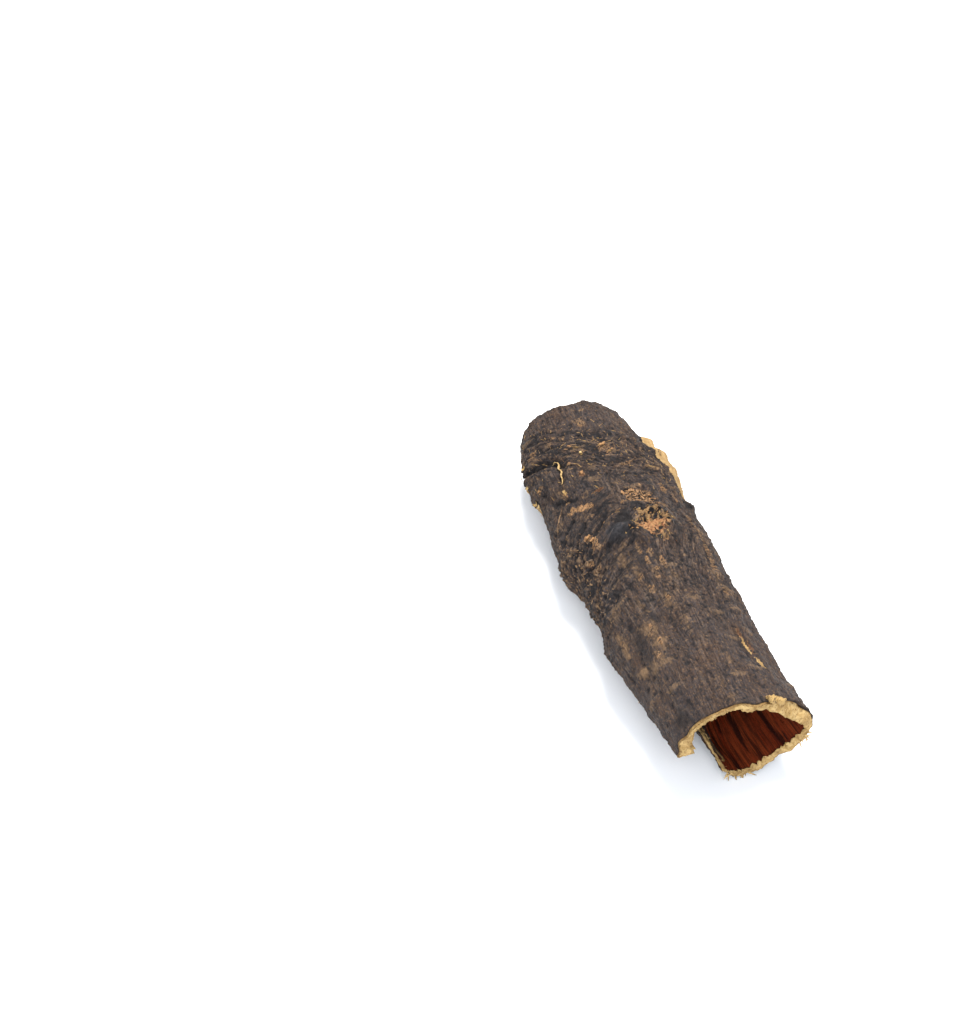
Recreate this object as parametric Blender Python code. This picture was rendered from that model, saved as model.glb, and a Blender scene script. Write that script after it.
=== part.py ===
"""A quill of silk tree bark: one curled piece of dried branch bark, lying on a table.

The bark was peeled from a branch and rolled in on itself as it dried. It is one solid: a
wall under 2 mm thick, with wrinkled cork and a branch scar outside and smooth bast inside.
Seen from the near end, the wall runs from the left free edge over the crown, down the right
side and back under as a floor, which leaves the left side open along its whole length.

Units are metres. +X runs along the quill to its near end, +Y to the right and +Z up. The
origin is below the middle of the quill, on the surface that it lies on.
Places on the bark are given as s, the distance back from the near end, and w, the distance
round the bark from its crown, positive to the right.
"""

import math
import random

import bmesh
import bpy
import numpy as np
from mathutils import noise

# Driving dimensions
LENGTH = 0.0925
WALL = 0.0016
NEAR_END_X = 0.0463
SIDE_SHIFT_Y = 0.00094

# The shape of the roll, as (distance from the near end, size) at each station
CROWN_HEIGHT = [(0.0, 0.0191), (0.050, 0.0188), (LENGTH, 0.0176)]
CROWN_SIDE = [(0.0, 0.0), (0.050, -0.0008), (LENGTH, -0.0024)]
LEFT_SIDE = [(0.0, -0.0104), (0.0155, -0.0122), (0.0235, -0.0141), (0.032, -0.0138),
             (0.040, -0.0139), (0.0440, -0.0144), (0.0485, -0.0162), (0.055, -0.0160),
             (0.0665, -0.0154), (0.0715, -0.0163), (0.0775, -0.0170), (0.085, -0.0156),
             (LENGTH, -0.0136)]
RIGHT_SIDE = [(0.0, 0.0147), (0.007, 0.0140), (0.030, 0.0140), (0.042, 0.0145),
              (0.053, 0.0150), (0.062, 0.0140), (0.075, 0.0121), (LENGTH, 0.0099)]
SIDE_HEIGHT = [(0.0, 0.0098), (0.020, 0.0098), (0.050, 0.0092), (LENGTH, 0.0090)]
BELLY_SIDE = [(0.0, 0.0030), (0.030, 0.0034), (0.050, 0.0042), (0.075, 0.0050), (LENGTH, 0.0036)]
UNDER_FLATNESS = [(0.0, 0.55), (0.012, 0.35), (0.030, 0.0), (LENGTH, 0.0)]
BELLY_LIFT = [(0.0, 0.0002), (0.010, 0.0003), (0.045, 0.0010), (0.075, 0.0005), (LENGTH, 0.0006)]
FLOOR_SPREAD = [(0.0, 0.0062), (0.020, 0.0085), (0.050, 0.0150), (0.075, 0.0200), (LENGTH, 0.0160)]
FLOOR_RISE = [(0.0, 0.0100), (0.030, 0.0060), (0.075, 0.0026), (LENGTH, 0.0050)]
LEFT_REACH = [(0.0, 0.0154), (0.018, 0.0189), (0.040, 0.0204), (0.047, 0.0219),
              (0.061, 0.0212), (0.075, 0.0222), (LENGTH, 0.0190)]
RIGHT_REACH = [(0.0, 0.0411), (0.020, 0.0421), (0.050, 0.0439), (0.075, 0.0449), (LENGTH, 0.0396)]
SKIRT_SPREAD = 0.0140
SKIRT_DROP = 0.0118

# The three low points that the quill lies on, as (s, w, bulge of the wall)
FEET = [(0.0080, 0.0352, 0.0008), (0.0740, 0.0435, 0.0015), (0.0700, 0.0320, 0.0010)]
FOOT_RADIUS = 0.0050

# Slow waves of the whole wall, and the relief of the cork alone
WAVE_HEIGHT = 0.0005
WAVE_LENGTH = 0.0200
RIDGE_HEIGHT = 0.00042
WRINKLE_HEIGHT = 0.00050
WRINKLE_BAND_S = 0.0765
WRINKLE_BAND_WIDTH = 0.0085
LOWEST_RELIEF = -0.0008

KNOT_S = 0.0494
KNOT_W = 0.0010
KNOT_RADIUS = 0.0036
KNOT_HEIGHT = 0.0013
KNOT_PIT = 0.0010
FOLD_HEIGHT = 0.00045
FOLD_SPACING = 0.0042
FOLD_REACH = 0.0200
TORN_S = 0.0582
TORN_W = 0.0015
TORN_RADIUS = 0.0028
TORN_DEPTH = 0.0005

# A smooth lobe beside the scar, and the lines of (s, w) that the folds and cracks follow
LOBE = (0.0485, -0.0056)
LOBE_RADIUS = 0.0034
LOBE_HEIGHT = 0.0009
GROOVE = [(0.0436, -0.0015), (0.0449, -0.0050), (0.0456, -0.0087), (0.0446, -0.0110),
          (0.0410, -0.0124), (0.0373, -0.0150), (0.0335, -0.0178)]
GROOVE_DEPTH = 0.0007
GROOVE_WIDTH = 0.0012
CRACK = [(0.0790, -0.0168), (0.0765, -0.0135), (0.0757, -0.0102), (0.0744, -0.0091),
         (0.0722, -0.0090), (0.0708, -0.0100), (0.0693, -0.0108)]
CRACK_DEPTH = 0.0007
CRACK_WIDTH = 0.0010

# A lip of bast that stands out on the right flank, blunt at its far end
LIP_S = (0.0600, 0.0850)
LIP_W = 0.0160
LIP_WIDTH = 0.0019
LIP_HEIGHT = 0.0033
NUB_S = 0.0585
NUB_RADIUS = 0.0017
NUB_HEIGHT = 0.0010

LENTICEL_COUNT = 40
LENTICEL_LENGTH = 0.0030
LENTICEL_WIDTH = 0.0013
LENTICEL_HEIGHT = 0.00035

# The torn free edges and the broken ends
EDGE_TEAR = 0.0011
EDGE_TEAR_SPACING = 0.0052
END_TEAR = 0.0006
END_TEAR_SPACING = 0.0062
BEVEL_W = 0.0135
BEVEL_WIDTH = 0.0055
BEVEL_LENGTH = 0.0012

# Sheets of faces: both have the same columns, and the cork side has more rows
CORK_ROWS = 80
INSIDE_ROWS = 34
COLUMNS = 47
ROW_CROWDING = 0.035
CURVE_STEPS = 20

BARK_COLOUR = (0.085, 0.062, 0.050, 1.0)
BARK_ROUGHNESS = 0.85
BAST_COLOUR = (0.42, 0.27, 0.11, 1.0)
BAST_ROUGHNESS = 0.75
SEED = 7


def along(stations, s):
    """The value at distance s on a smooth curve through the stations."""
    places = np.array([place for place, _ in stations])
    values = np.array([value for _, value in stations])
    slopes = np.gradient(values, places)
    i = np.clip(np.searchsorted(places, s) - 1, 0, len(places) - 2)
    gap = places[i + 1] - places[i]
    t = np.clip((s - places[i]) / gap, 0.0, 1.0)
    rise = values[i + 1] - values[i]
    bend = gap * t * (1 - t) * (slopes[i] * (1 - t) - slopes[i + 1] * t)
    return values[i] + rise * t * t * (3 - 2 * t) + bend


def hump(x, centre, width):
    """A smooth hump, 1 at its centre and about nothing two widths away."""
    return np.exp(-(((x - centre) / width) ** 2))


def step(x, low, high):
    """0 below low and 1 above high, with a smooth change between."""
    t = np.clip((x - low) / (high - low), 0.0, 1.0)
    return t * t * (3 - 2 * t)


def rough(s, w, size_s, size_w, layer):
    """Seeded smooth noise from about -1 to 1, with grains of size_s by size_w."""
    s, w = np.broadcast_arrays(s, w)
    places = zip((s / size_s).ravel(), (w / size_w).ravel())
    values = [noise.noise((a, b, layer * 7.31 + SEED)) for a, b in places]
    return 1.6 * np.array(values).reshape(s.shape)


def sections(s):
    """The roll's outer curve at each distance s: its points as y and z, and the w of each.

    Four quarters of ellipses meet level or upright at the crown, the sides and the belly.
    A skirt hangs on below the left side, and a floor runs on past the belly. Near the near
    end the lower right quarter flattens towards a straight line.
    """
    s = s[:, None]
    crown_y, crown_z = along(CROWN_SIDE, s), along(CROWN_HEIGHT, s)
    left_y, right_y, side_z = along(LEFT_SIDE, s), along(RIGHT_SIDE, s), along(SIDE_HEIGHT, s)
    belly_y, belly_z = along(BELLY_SIDE, s), along(BELLY_LIFT, s)
    turn = np.linspace(0.0, math.pi / 2, CURVE_STEPS)[None, :]
    c, n = np.cos(turn), np.sin(turn)
    top = side_z + (crown_z - side_z) * c
    skirt = (left_y + SKIRT_SPREAD * (1 - c), side_z - SKIRT_DROP * n)
    left = (crown_y + (left_y - crown_y) * n, top)
    right = (crown_y + (right_y - crown_y) * n, top)
    flat, down = along(UNDER_FLATNESS, s), 2 * turn / math.pi
    under_y = belly_y + (right_y - belly_y) * ((1 - flat) * c + flat * (1 - down))
    under = (under_y, side_z - (side_z - belly_z) * ((1 - flat) * n + flat * down))
    floor = (belly_y - along(FLOOR_SPREAD, s) * n, belly_z + along(FLOOR_RISE, s) * (1 - c))
    parts = [(skirt, -1), (left, -1), (right, 1), (under, 1), (floor, 1)]
    y = np.concatenate([part[0][:, ::way][:, :-1] for part, way in parts], axis=1)
    z = np.concatenate([part[1][:, ::way][:, :-1] for part, way in parts], axis=1)
    lengths = np.cumsum(np.hypot(np.diff(y), np.diff(z)), axis=1)
    w = np.concatenate([np.zeros_like(s), lengths], axis=1)
    crown = 2 * (CURVE_STEPS - 1)
    return y, z, w - w[:, crown:crown + 1]


def wall_points(s, w, depth):
    """Points at depth under the roll's outer curve, and the directions straight out there."""
    grain = 0.0008
    curve_y, curve_z, curve_w = sections(s)
    rows = range(len(s))
    y, z = (np.array([np.interp((w[i] - grain, w[i], w[i] + grain), curve_w[i], curve[i])
                      for i in rows]) for curve in (curve_y, curve_z))
    out = np.stack([0 * s, z[:, 0] - z[:, 2], y[:, 2] - y[:, 0]], axis=1)
    out = out / np.linalg.norm(out, axis=1)[:, None]
    points = np.stack([NEAR_END_X - s, SIDE_SHIFT_Y + y[:, 1], z[:, 1]], axis=1)
    return points - out * depth, out


def edge_tear(s, layer):
    """How far the torn free edge stands back at distance s, most where the cork is wrinkled."""
    coarse = rough(s, 0.0, EDGE_TEAR_SPACING, 1.0, layer)
    fine = rough(s, 0.0, EDGE_TEAR_SPACING / 2.7, 1.0, layer + 1)
    return EDGE_TEAR * (0.7 * coarse + 0.45 * fine) * (1 + 0.6 * hump(s, WRINKLE_BAND_S, 0.012))


def end_tear(w, layer):
    """How far the broken end stands back at place w round the bark."""
    coarse = rough(0.0, w, 1.0, END_TEAR_SPACING, layer)
    fine = rough(0.0, w, 1.0, END_TEAR_SPACING / 2.5, layer + 1)
    return END_TEAR * (0.8 * coarse + 0.4 * fine)


def wall_wave(s, w):
    """Slow unevenness of the whole wall, calm underneath, and the bulges that it lies on."""
    calm = 1.0 - 0.9 * step(w, 0.022, 0.030)
    wave = WAVE_HEIGHT * rough(s, w, WAVE_LENGTH, WAVE_LENGTH * 0.7, 20) * calm
    for foot_s, foot_w, bulge in FEET:
        wave = wave + bulge * hump(np.hypot(s - foot_s, w - foot_w), 0.0, FOOT_RADIUS)
    return wave


def knot_relief(s, w):
    """A branch scar: a torn collar round a pit, with folds that sweep left and forwards."""
    back, side = s - KNOT_S, w - KNOT_W
    distance = np.hypot(back * 0.9, side)
    uneven = 0.8 + 0.6 * rough(s, w, 0.0030, 0.0030, 30)
    collar = KNOT_HEIGHT * uneven * hump(distance, KNOT_RADIUS, KNOT_RADIUS * 0.5)
    mound = 0.5 * KNOT_HEIGHT * hump(distance, 0.0, 2.2 * KNOT_RADIUS)
    pit = KNOT_PIT * hump(distance, 0.0, KNOT_RADIUS * 0.6)
    swept = back - 0.30 * side + 24.0 * side * side
    wander = 1.6 * rough(s, w, 0.0080, 0.0080, 31)
    folds = np.sin(2 * math.pi * swept / FOLD_SPACING + wander)
    reach = step(-side, 0.5 * KNOT_RADIUS, 1.4 * KNOT_RADIUS)
    reach = reach * (1 - step(-side, FOLD_REACH * 0.7, FOLD_REACH)) * hump(swept, 0.0, 0.0095)
    torn = TORN_DEPTH * hump(np.hypot(s - TORN_S, w - TORN_W), 0.0, TORN_RADIUS)
    return collar + mound - pit - torn + FOLD_HEIGHT * folds * reach


def wrinkle_relief(s, w):
    """Ridges along the branch everywhere, and a band of wrinkles across its far third."""
    ridges = rough(s, w, 0.0130, 0.0034, 40) + 0.6 * rough(s, w, 0.0060, 0.0022, 41)
    band = hump(s, WRINKLE_BAND_S, WRINKLE_BAND_WIDTH)
    across = rough(s + 0.25 * w, w, 0.0032, 0.0130, 42)
    return RIDGE_HEIGHT * ridges * (1 - 0.5 * band) + WRINKLE_HEIGHT * across * (0.15 + 0.85 * band)


def line_distance(s, w, line):
    """The distance along the bark from each place to a line of (s, w) points."""
    nearest = np.full(np.shape(s), 1.0)
    for (start_s, start_w), (end_s, end_w) in zip(line, line[1:]):
        run_s, run_w = end_s - start_s, end_w - start_w
        part = ((s - start_s) * run_s + (w - start_w) * run_w) / (run_s ** 2 + run_w ** 2)
        part = np.clip(part, 0.0, 1.0)
        gap = np.hypot(s - start_s - part * run_s, w - start_w - part * run_w)
        nearest = np.minimum(nearest, gap)
    return nearest


def crack_relief(s, w):
    """A crack with curled lips at the wrinkles, and a groove with a lobe beside the scar."""
    away = line_distance(s, w, CRACK)
    crack = CRACK_DEPTH * (0.8 * hump(away, 2.0 * CRACK_WIDTH, CRACK_WIDTH) - hump(away, 0.0, CRACK_WIDTH))
    groove = GROOVE_DEPTH * hump(line_distance(s, w, GROOVE), 0.0, GROOVE_WIDTH)
    lobe = np.hypot((s - LOBE[0]) * 1.3, (w - LOBE[1]) * 0.8)
    return crack - groove + LOBE_HEIGHT * hump(lobe, 0.0, LOBE_RADIUS)


def lip_relief(s, w):
    """The lip of bast on the right flank, with a dark nub where it starts."""
    start, end = LIP_S
    reach = step(s, start, start + 0.020) * (1 - step(s, end - 0.0014, end))
    lip = LIP_HEIGHT * reach * hump(w, LIP_W, LIP_WIDTH)
    return lip + NUB_HEIGHT * hump(np.hypot(s - NUB_S, w - LIP_W), 0.0, NUB_RADIUS)


def lenticels():
    """Seeded places for the corky pores, as (s, w) clear of the branch scar."""
    draw = random.Random(SEED)
    found = []
    while len(found) < LENTICEL_COUNT:
        s, w = draw.uniform(0.004, LENGTH - 0.004), draw.uniform(-0.019, 0.032)
        clear = math.hypot(s - KNOT_S, w - KNOT_W) > 2.5 * KNOT_RADIUS
        spaced = all(math.hypot(s - a, w - b) > 1.2 * LENTICEL_LENGTH for a, b in found)
        if clear and spaced:
            found.append((s, w))
    return found


def lenticel_relief(s, w):
    """Small swellings, each longer round the branch than along it."""
    height = np.zeros_like(s)
    for place_s, place_w in lenticels():
        shape = ((s - place_s) / LENTICEL_WIDTH) ** 2 + ((w - place_w) / LENTICEL_LENGTH) ** 2
        height = np.maximum(height, np.exp(-1.5 * shape))
    return LENTICEL_HEIGHT * height


def cork_relief(s, w):
    """All the relief of the outside, as a height above the roll's outer curve."""
    relief = knot_relief(s, w) + wrinkle_relief(s, w) + crack_relief(s, w)
    relief = relief + lenticel_relief(s, w) + lip_relief(s, w)
    return np.maximum(relief, LOWEST_RELIEF)


def sheet_places(rows, inside):
    """The (s, w) of every point of a sheet of bark, row by row from the near end."""
    u, v = np.meshgrid(np.linspace(0, 1, rows + 1), np.linspace(0, 1, COLUMNS + 1), indexing="ij")
    # Rows crowd together round the branch scar.
    crowd = np.sin(2 * math.pi * (u - KNOT_S / LENGTH)) * np.sin(math.pi * u)
    u = u - ROW_CROWDING * crowd
    left = -along(LEFT_REACH, LENGTH * u) + edge_tear(LENGTH * u, 1)
    right = along(RIGHT_REACH, LENGTH * u) - edge_tear(LENGTH * u, 4)
    w = left + (right - left) * v
    near, far = end_tear(w, 7), LENGTH - end_tear(w, 10)
    if not inside:
        near = near + BEVEL_LENGTH * hump(w, BEVEL_W, BEVEL_WIDTH)
    return (near + (far - near) * u).ravel(), w.ravel()


def bark_sheet(bm, rows, inside):
    """A flat grid of faces that is rolled up and given its relief."""
    made = bmesh.ops.create_grid(bm, x_segments=rows, y_segments=COLUMNS, size=0.5)
    points = sorted(made["verts"], key=lambda p: (round(p.co.x, 6), round(p.co.y, 6)))
    s, w = sheet_places(rows, inside)
    height = wall_wave(s, w)
    if not inside:
        height = height + cork_relief(s, w)
    places, out = wall_points(s, w, WALL if inside else 0.0)
    places = places + out * height[:, None]
    places[:, 2] = np.maximum(places[:, 2], 0.0)
    for point, place in zip(points, places):
        point.co = place
    for face in {face for point in points for face in point.link_faces}:
        face.material_index = 1 if inside else 0
        face.smooth = True


def bark_material(name, colour, roughness):
    """A plain finish for one face of the bark."""
    material = bpy.data.materials.new(name)
    material.use_nodes = True
    shader = material.node_tree.nodes["Principled BSDF"]
    shader.inputs["Base Color"].default_value = colour
    shader.inputs["Roughness"].default_value = roughness
    return material


def bark_quill():
    """The cork sheet and the inside sheet, joined round their rims into one closed wall."""
    bm = bmesh.new()
    bark_sheet(bm, CORK_ROWS, inside=False)
    bark_sheet(bm, INSIDE_ROWS, inside=True)
    rims = [edge for edge in bm.edges if edge.is_boundary]
    for face in bmesh.ops.bridge_loops(bm, edges=rims)["faces"]:
        face.material_index = 1
    bmesh.ops.triangulate(bm, faces=bm.faces[:])
    bmesh.ops.recalc_face_normals(bm, faces=bm.faces[:])
    mesh = bpy.data.meshes.new("bark_quill")
    bm.to_mesh(mesh)
    bm.free()
    mesh.materials.append(bark_material("cork", BARK_COLOUR, BARK_ROUGHNESS))
    mesh.materials.append(bark_material("bast", BAST_COLOUR, BAST_ROUGHNESS))
    return bpy.data.objects.new("bark_quill", mesh)


def main():
    for old in list(bpy.data.objects):
        bpy.data.objects.remove(old, do_unlink=True)
    collection = bpy.data.collections.new("silk_tree_bark")
    bpy.context.scene.collection.children.link(collection)
    collection.objects.link(bark_quill())


main()
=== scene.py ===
"""A quill of silk tree bark lying on a pale table, dressed for a picture."""

import math
import random

import bpy
import numpy as np
from mathutils import Matrix, Vector, noise


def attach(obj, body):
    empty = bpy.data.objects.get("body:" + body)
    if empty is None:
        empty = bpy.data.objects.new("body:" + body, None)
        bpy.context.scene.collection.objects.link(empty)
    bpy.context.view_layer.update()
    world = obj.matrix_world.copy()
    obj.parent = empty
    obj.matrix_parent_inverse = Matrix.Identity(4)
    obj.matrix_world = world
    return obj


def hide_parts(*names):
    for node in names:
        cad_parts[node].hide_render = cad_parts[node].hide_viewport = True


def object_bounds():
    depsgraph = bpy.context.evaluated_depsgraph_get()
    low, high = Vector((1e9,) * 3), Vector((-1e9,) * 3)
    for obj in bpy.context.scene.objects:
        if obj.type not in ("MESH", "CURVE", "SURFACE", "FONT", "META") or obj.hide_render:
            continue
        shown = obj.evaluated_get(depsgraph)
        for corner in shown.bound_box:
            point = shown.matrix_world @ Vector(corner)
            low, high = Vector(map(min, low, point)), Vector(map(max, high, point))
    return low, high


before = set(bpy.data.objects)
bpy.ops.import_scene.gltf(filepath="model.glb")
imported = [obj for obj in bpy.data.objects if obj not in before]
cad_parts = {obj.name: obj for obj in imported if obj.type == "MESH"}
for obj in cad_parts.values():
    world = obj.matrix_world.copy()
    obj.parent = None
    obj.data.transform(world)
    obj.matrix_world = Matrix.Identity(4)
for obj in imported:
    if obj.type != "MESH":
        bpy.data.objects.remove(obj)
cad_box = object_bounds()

# The cork: the dark outer skin of a piece of dried branch bark that curled in on itself. It is
# half a millimetre thick, wrinkled as it dried, and chipped back a little from the bast under it.
# Its places are s, back from the near end, and w, round from the crown, on the CAD wall's own roll.


def mm(*rows):
    """Rows of millimetres as rows of metres."""
    return [tuple(value / 1000 for value in row) for row in rows]


LENGTH = 0.0925
WALL = 0.0016
NEAR_END_X = 0.0463
SIDE_SHIFT_Y = 0.00094
CROWN_HEIGHT = mm((0, 19.1), (50, 18.8), (92.5, 17.6))
CROWN_SIDE = mm((0, 0), (50, -0.8), (92.5, -2.4))
LEFT_SIDE = mm((0, -10.4), (15.5, -12.2), (23.5, -14.1), (32, -13.8), (40, -13.9), (44, -14.4),
               (48.5, -16.2), (55, -16), (66.5, -15.4), (71.5, -16.3), (77.5, -17), (85, -15.6),
               (92.5, -13.6))
RIGHT_SIDE = mm((0, 14.7), (7, 14), (30, 14), (42, 14.5), (53, 15), (62, 14), (75, 12.1),
                (92.5, 9.9))
SIDE_HEIGHT = mm((0, 9.8), (20, 9.8), (50, 9.2), (92.5, 9))
BELLY_SIDE = mm((0, 3), (30, 3.4), (50, 4.2), (75, 5), (92.5, 3.6))
UNDER_FLATNESS = [(0.0, 0.55), (0.012, 0.35), (0.030, 0.0), (LENGTH, 0.0)]
BELLY_LIFT = mm((0, 0.2), (10, 0.3), (45, 1), (75, 0.5), (92.5, 0.6))
FLOOR_SPREAD = mm((0, 6.2), (20, 8.5), (50, 15), (75, 20), (92.5, 16))
FLOOR_RISE = mm((0, 10), (30, 6), (75, 2.6), (92.5, 5))
LEFT_REACH = mm((0, 15.4), (18, 18.9), (40, 20.4), (47, 21.9), (61, 21.2), (75, 22.2), (92.5, 19))
RIGHT_REACH = mm((0, 41.1), (20, 42.1), (50, 43.9), (75, 44.9), (92.5, 39.6))
SKIRT_SPREAD = 0.0140
SKIRT_DROP = 0.0118
CURVE_STEPS = 60
SEED = 7


def along(stations, s):
    places = np.array([place for place, _ in stations])
    values = np.array([value for _, value in stations])
    slopes = np.gradient(values, places)
    i = np.clip(np.searchsorted(places, s) - 1, 0, len(places) - 2)
    gap = places[i + 1] - places[i]
    t = np.clip((s - places[i]) / gap, 0.0, 1.0)
    rise = values[i + 1] - values[i]
    bend = gap * t * (1 - t) * (slopes[i] * (1 - t) - slopes[i + 1] * t)
    return values[i] + rise * t * t * (3 - 2 * t) + bend


def hump(x, centre, width):
    return np.exp(-(((x - centre) / width) ** 2))


def step(x, low, high):
    t = np.clip((x - low) / (high - low), 0.0, 1.0)
    return t * t * (3 - 2 * t)


def rough(s, w, size_s, size_w, layer):
    s, w = np.broadcast_arrays(s, w)
    places = zip((s / size_s).ravel(), (w / size_w).ravel())
    values = [noise.noise((a, b, layer * 7.31 + SEED)) for a, b in places]
    return 1.6 * np.array(values).reshape(s.shape)


def sections(s):
    """The roll's outer curve at each distance s: its points as y and z, and the w of each."""
    s = s[:, None]
    crown_y, crown_z = along(CROWN_SIDE, s), along(CROWN_HEIGHT, s)
    left_y, right_y, side_z = along(LEFT_SIDE, s), along(RIGHT_SIDE, s), along(SIDE_HEIGHT, s)
    belly_y, belly_z = along(BELLY_SIDE, s), along(BELLY_LIFT, s)
    turn = np.linspace(0.0, math.pi / 2, CURVE_STEPS)[None, :]
    c, n = np.cos(turn), np.sin(turn)
    top = side_z + (crown_z - side_z) * c
    skirt = (left_y + SKIRT_SPREAD * (1 - c), side_z - SKIRT_DROP * n)
    left = (crown_y + (left_y - crown_y) * n, top)
    right = (crown_y + (right_y - crown_y) * n, top)
    flat, down = along(UNDER_FLATNESS, s), 2 * turn / math.pi
    under_y = belly_y + (right_y - belly_y) * ((1 - flat) * c + flat * (1 - down))
    under = (under_y, side_z - (side_z - belly_z) * ((1 - flat) * n + flat * down))
    floor = (belly_y - along(FLOOR_SPREAD, s) * n, belly_z + along(FLOOR_RISE, s) * (1 - c))
    parts = [(skirt, -1), (left, -1), (right, 1), (under, 1), (floor, 1)]
    y = np.concatenate([part[0][:, ::way][:, :-1] for part, way in parts], axis=1)
    z = np.concatenate([part[1][:, ::way][:, :-1] for part, way in parts], axis=1)
    lengths = np.cumsum(np.hypot(np.diff(y), np.diff(z)), axis=1)
    w = np.concatenate([np.zeros_like(s), lengths], axis=1)
    crown = 2 * (CURVE_STEPS - 1)
    return y, z, w - w[:, crown:crown + 1]


# A table of the outer curve, read between its rows and columns by straight lines.
TABLE_S = np.linspace(-0.002, LENGTH + 0.002, 386)
TABLE_W = np.linspace(-0.030, 0.052, 821)
GRAIN = 0.0008


def roll_table():
    curve_y, curve_z, curve_w = sections(TABLE_S)
    rows = range(len(TABLE_S))
    y = np.array([np.interp(TABLE_W, curve_w[i], curve_y[i]) for i in rows])
    z = np.array([np.interp(TABLE_W, curve_w[i], curve_z[i]) for i in rows])
    reach = int(round(GRAIN / (TABLE_W[1] - TABLE_W[0])))
    before = np.clip(np.arange(len(TABLE_W)) - reach, 0, None)
    after = np.clip(np.arange(len(TABLE_W)) + reach, None, len(TABLE_W) - 1)
    out_y, out_z = z[:, before] - z[:, after], y[:, after] - y[:, before]
    size = np.hypot(out_y, out_z)
    return np.stack([y, z, out_y / size, out_z / size], axis=-1)


ROLL = roll_table()


def roll_points(s, w, height):
    """Points at height above the roll's outer curve."""
    a = np.clip((s - TABLE_S[0]) / (TABLE_S[1] - TABLE_S[0]), 0, len(TABLE_S) - 1.001)
    b = np.clip((w - TABLE_W[0]) / (TABLE_W[1] - TABLE_W[0]), 0, len(TABLE_W) - 1.001)
    i, j = a.astype(int), b.astype(int)
    a, b = (a - i)[:, None], (b - j)[:, None]
    near = ROLL[i, j] * (1 - b) + ROLL[i, j + 1] * b
    far = ROLL[i + 1, j] * (1 - b) + ROLL[i + 1, j + 1] * b
    y, z, out_y, out_z = (near * (1 - a) + far * a).T
    size = np.hypot(out_y, out_z)
    return np.stack([NEAR_END_X - s, SIDE_SHIFT_Y + y + out_y / size * height,
                     z + out_z / size * height], axis=1)


FEET = mm((8, 35.2, 0.8), (74, 43.5, 1.5), (70, 32, 1))
FOOT_RADIUS = 0.0050
WAVE_HEIGHT = 0.0005
WAVE_LENGTH = 0.0200
EDGE_TEAR = 0.0011
EDGE_TEAR_SPACING = 0.0052
END_TEAR = 0.0006
END_TEAR_SPACING = 0.0062
FAR_REACH = 0.00055
BEVEL_W = 0.0135
BEVEL_WIDTH = 0.0055
BEVEL_LENGTH = 0.0012
WRINKLE_BAND_S = 0.0765
WRINKLE_BAND_WIDTH = 0.0085


def wall_wave(s, w):
    calm = 1.0 - 0.9 * step(w, 0.022, 0.030)
    wave = WAVE_HEIGHT * rough(s, w, WAVE_LENGTH, WAVE_LENGTH * 0.7, 20) * calm
    for foot_s, foot_w, bulge in FEET:
        wave = wave + bulge * hump(np.hypot(s - foot_s, w - foot_w), 0.0, FOOT_RADIUS)
    return wave


def edge_tear(s, layer):
    coarse = rough(s, 0.0, EDGE_TEAR_SPACING, 1.0, layer)
    fine = rough(s, 0.0, EDGE_TEAR_SPACING / 2.7, 1.0, layer + 1)
    return EDGE_TEAR * (0.7 * coarse + 0.45 * fine) * (1 + 0.6 * hump(s, WRINKLE_BAND_S, 0.012))


def end_tear(w, layer):
    coarse = rough(0.0, w, 1.0, END_TEAR_SPACING, layer)
    fine = rough(0.0, w, 1.0, END_TEAR_SPACING / 2.5, layer + 1)
    return END_TEAR * (0.8 * coarse + 0.4 * fine)


def far_tear(w):
    """The tear of the far rim, which reaches further back left of its top."""
    return end_tear(w, 10) - FAR_REACH * hump(w, -0.0042, 0.0045)


def left_edge(s):
    """The torn left edge, calmer over its near two thirds."""
    calm = 1 - 0.55 * (1 - step(s, 0.050, 0.066))
    return -along(LEFT_REACH, s) + edge_tear(s, 1) * calm


def right_edge(s):
    return along(RIGHT_REACH, s) - edge_tear(s, 4)


# The relief of the cork: the branch scar and its folds, ridges and wrinkles, a crack, a groove,
# a lip of bast on the right flank and the corky pores. The first part of it is the CAD wall's
# own relief; the finer folds, fibres and pits after it are what the CAD wall leaves out.
RIDGE_HEIGHT = 0.00042
WRINKLE_HEIGHT = 0.00050
LOWEST_RELIEF = -0.0008
KNOT_S = 0.0494
KNOT_W = 0.0010
KNOT_RADIUS = 0.0036
KNOT_HEIGHT = 0.0013
KNOT_PIT = 0.0010
FOLD_HEIGHT = 0.00045
FOLD_SPACING = 0.0042
FOLD_REACH = 0.0200
TORN_S = 0.0582
TORN_W = 0.0015
TORN_RADIUS = 0.0028
TORN_DEPTH = 0.0005
LOBE = (0.0485, -0.0056)
LOBE_RADIUS = 0.0034
LOBE_HEIGHT = 0.0009
GROOVE = mm((43.6, -1.5), (44.9, -5), (45.6, -8.7), (44.6, -11), (41, -12.4), (37.3, -15),
            (33.5, -17.8))
GROOVE_DEPTH = 0.0007
GROOVE_WIDTH = 0.0012
CRACK = mm((79, -16.8), (76.5, -13.5), (75.7, -10.2), (74.4, -9.1), (72.2, -9), (70.8, -10),
           (69.3, -10.8))
CRACK_DEPTH = 0.0007
CRACK_WIDTH = 0.0010
LIP_S = (0.0600, 0.0850)
LIP_W = 0.0160
LIP_WIDTH = 0.0019
LIP_HEIGHT = 0.0033
NUB_S = 0.0585
NUB_RADIUS = 0.0017
NUB_HEIGHT = 0.0010
LENTICEL_COUNT = 40
LENTICEL_LENGTH = 0.0030
LENTICEL_WIDTH = 0.0013
LENTICEL_HEIGHT = 0.00035


def swept_back(back, side):
    """The distance back, measured along curves that fan out beside the scar."""
    return back - 0.30 * side + 24.0 * side * side


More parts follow.
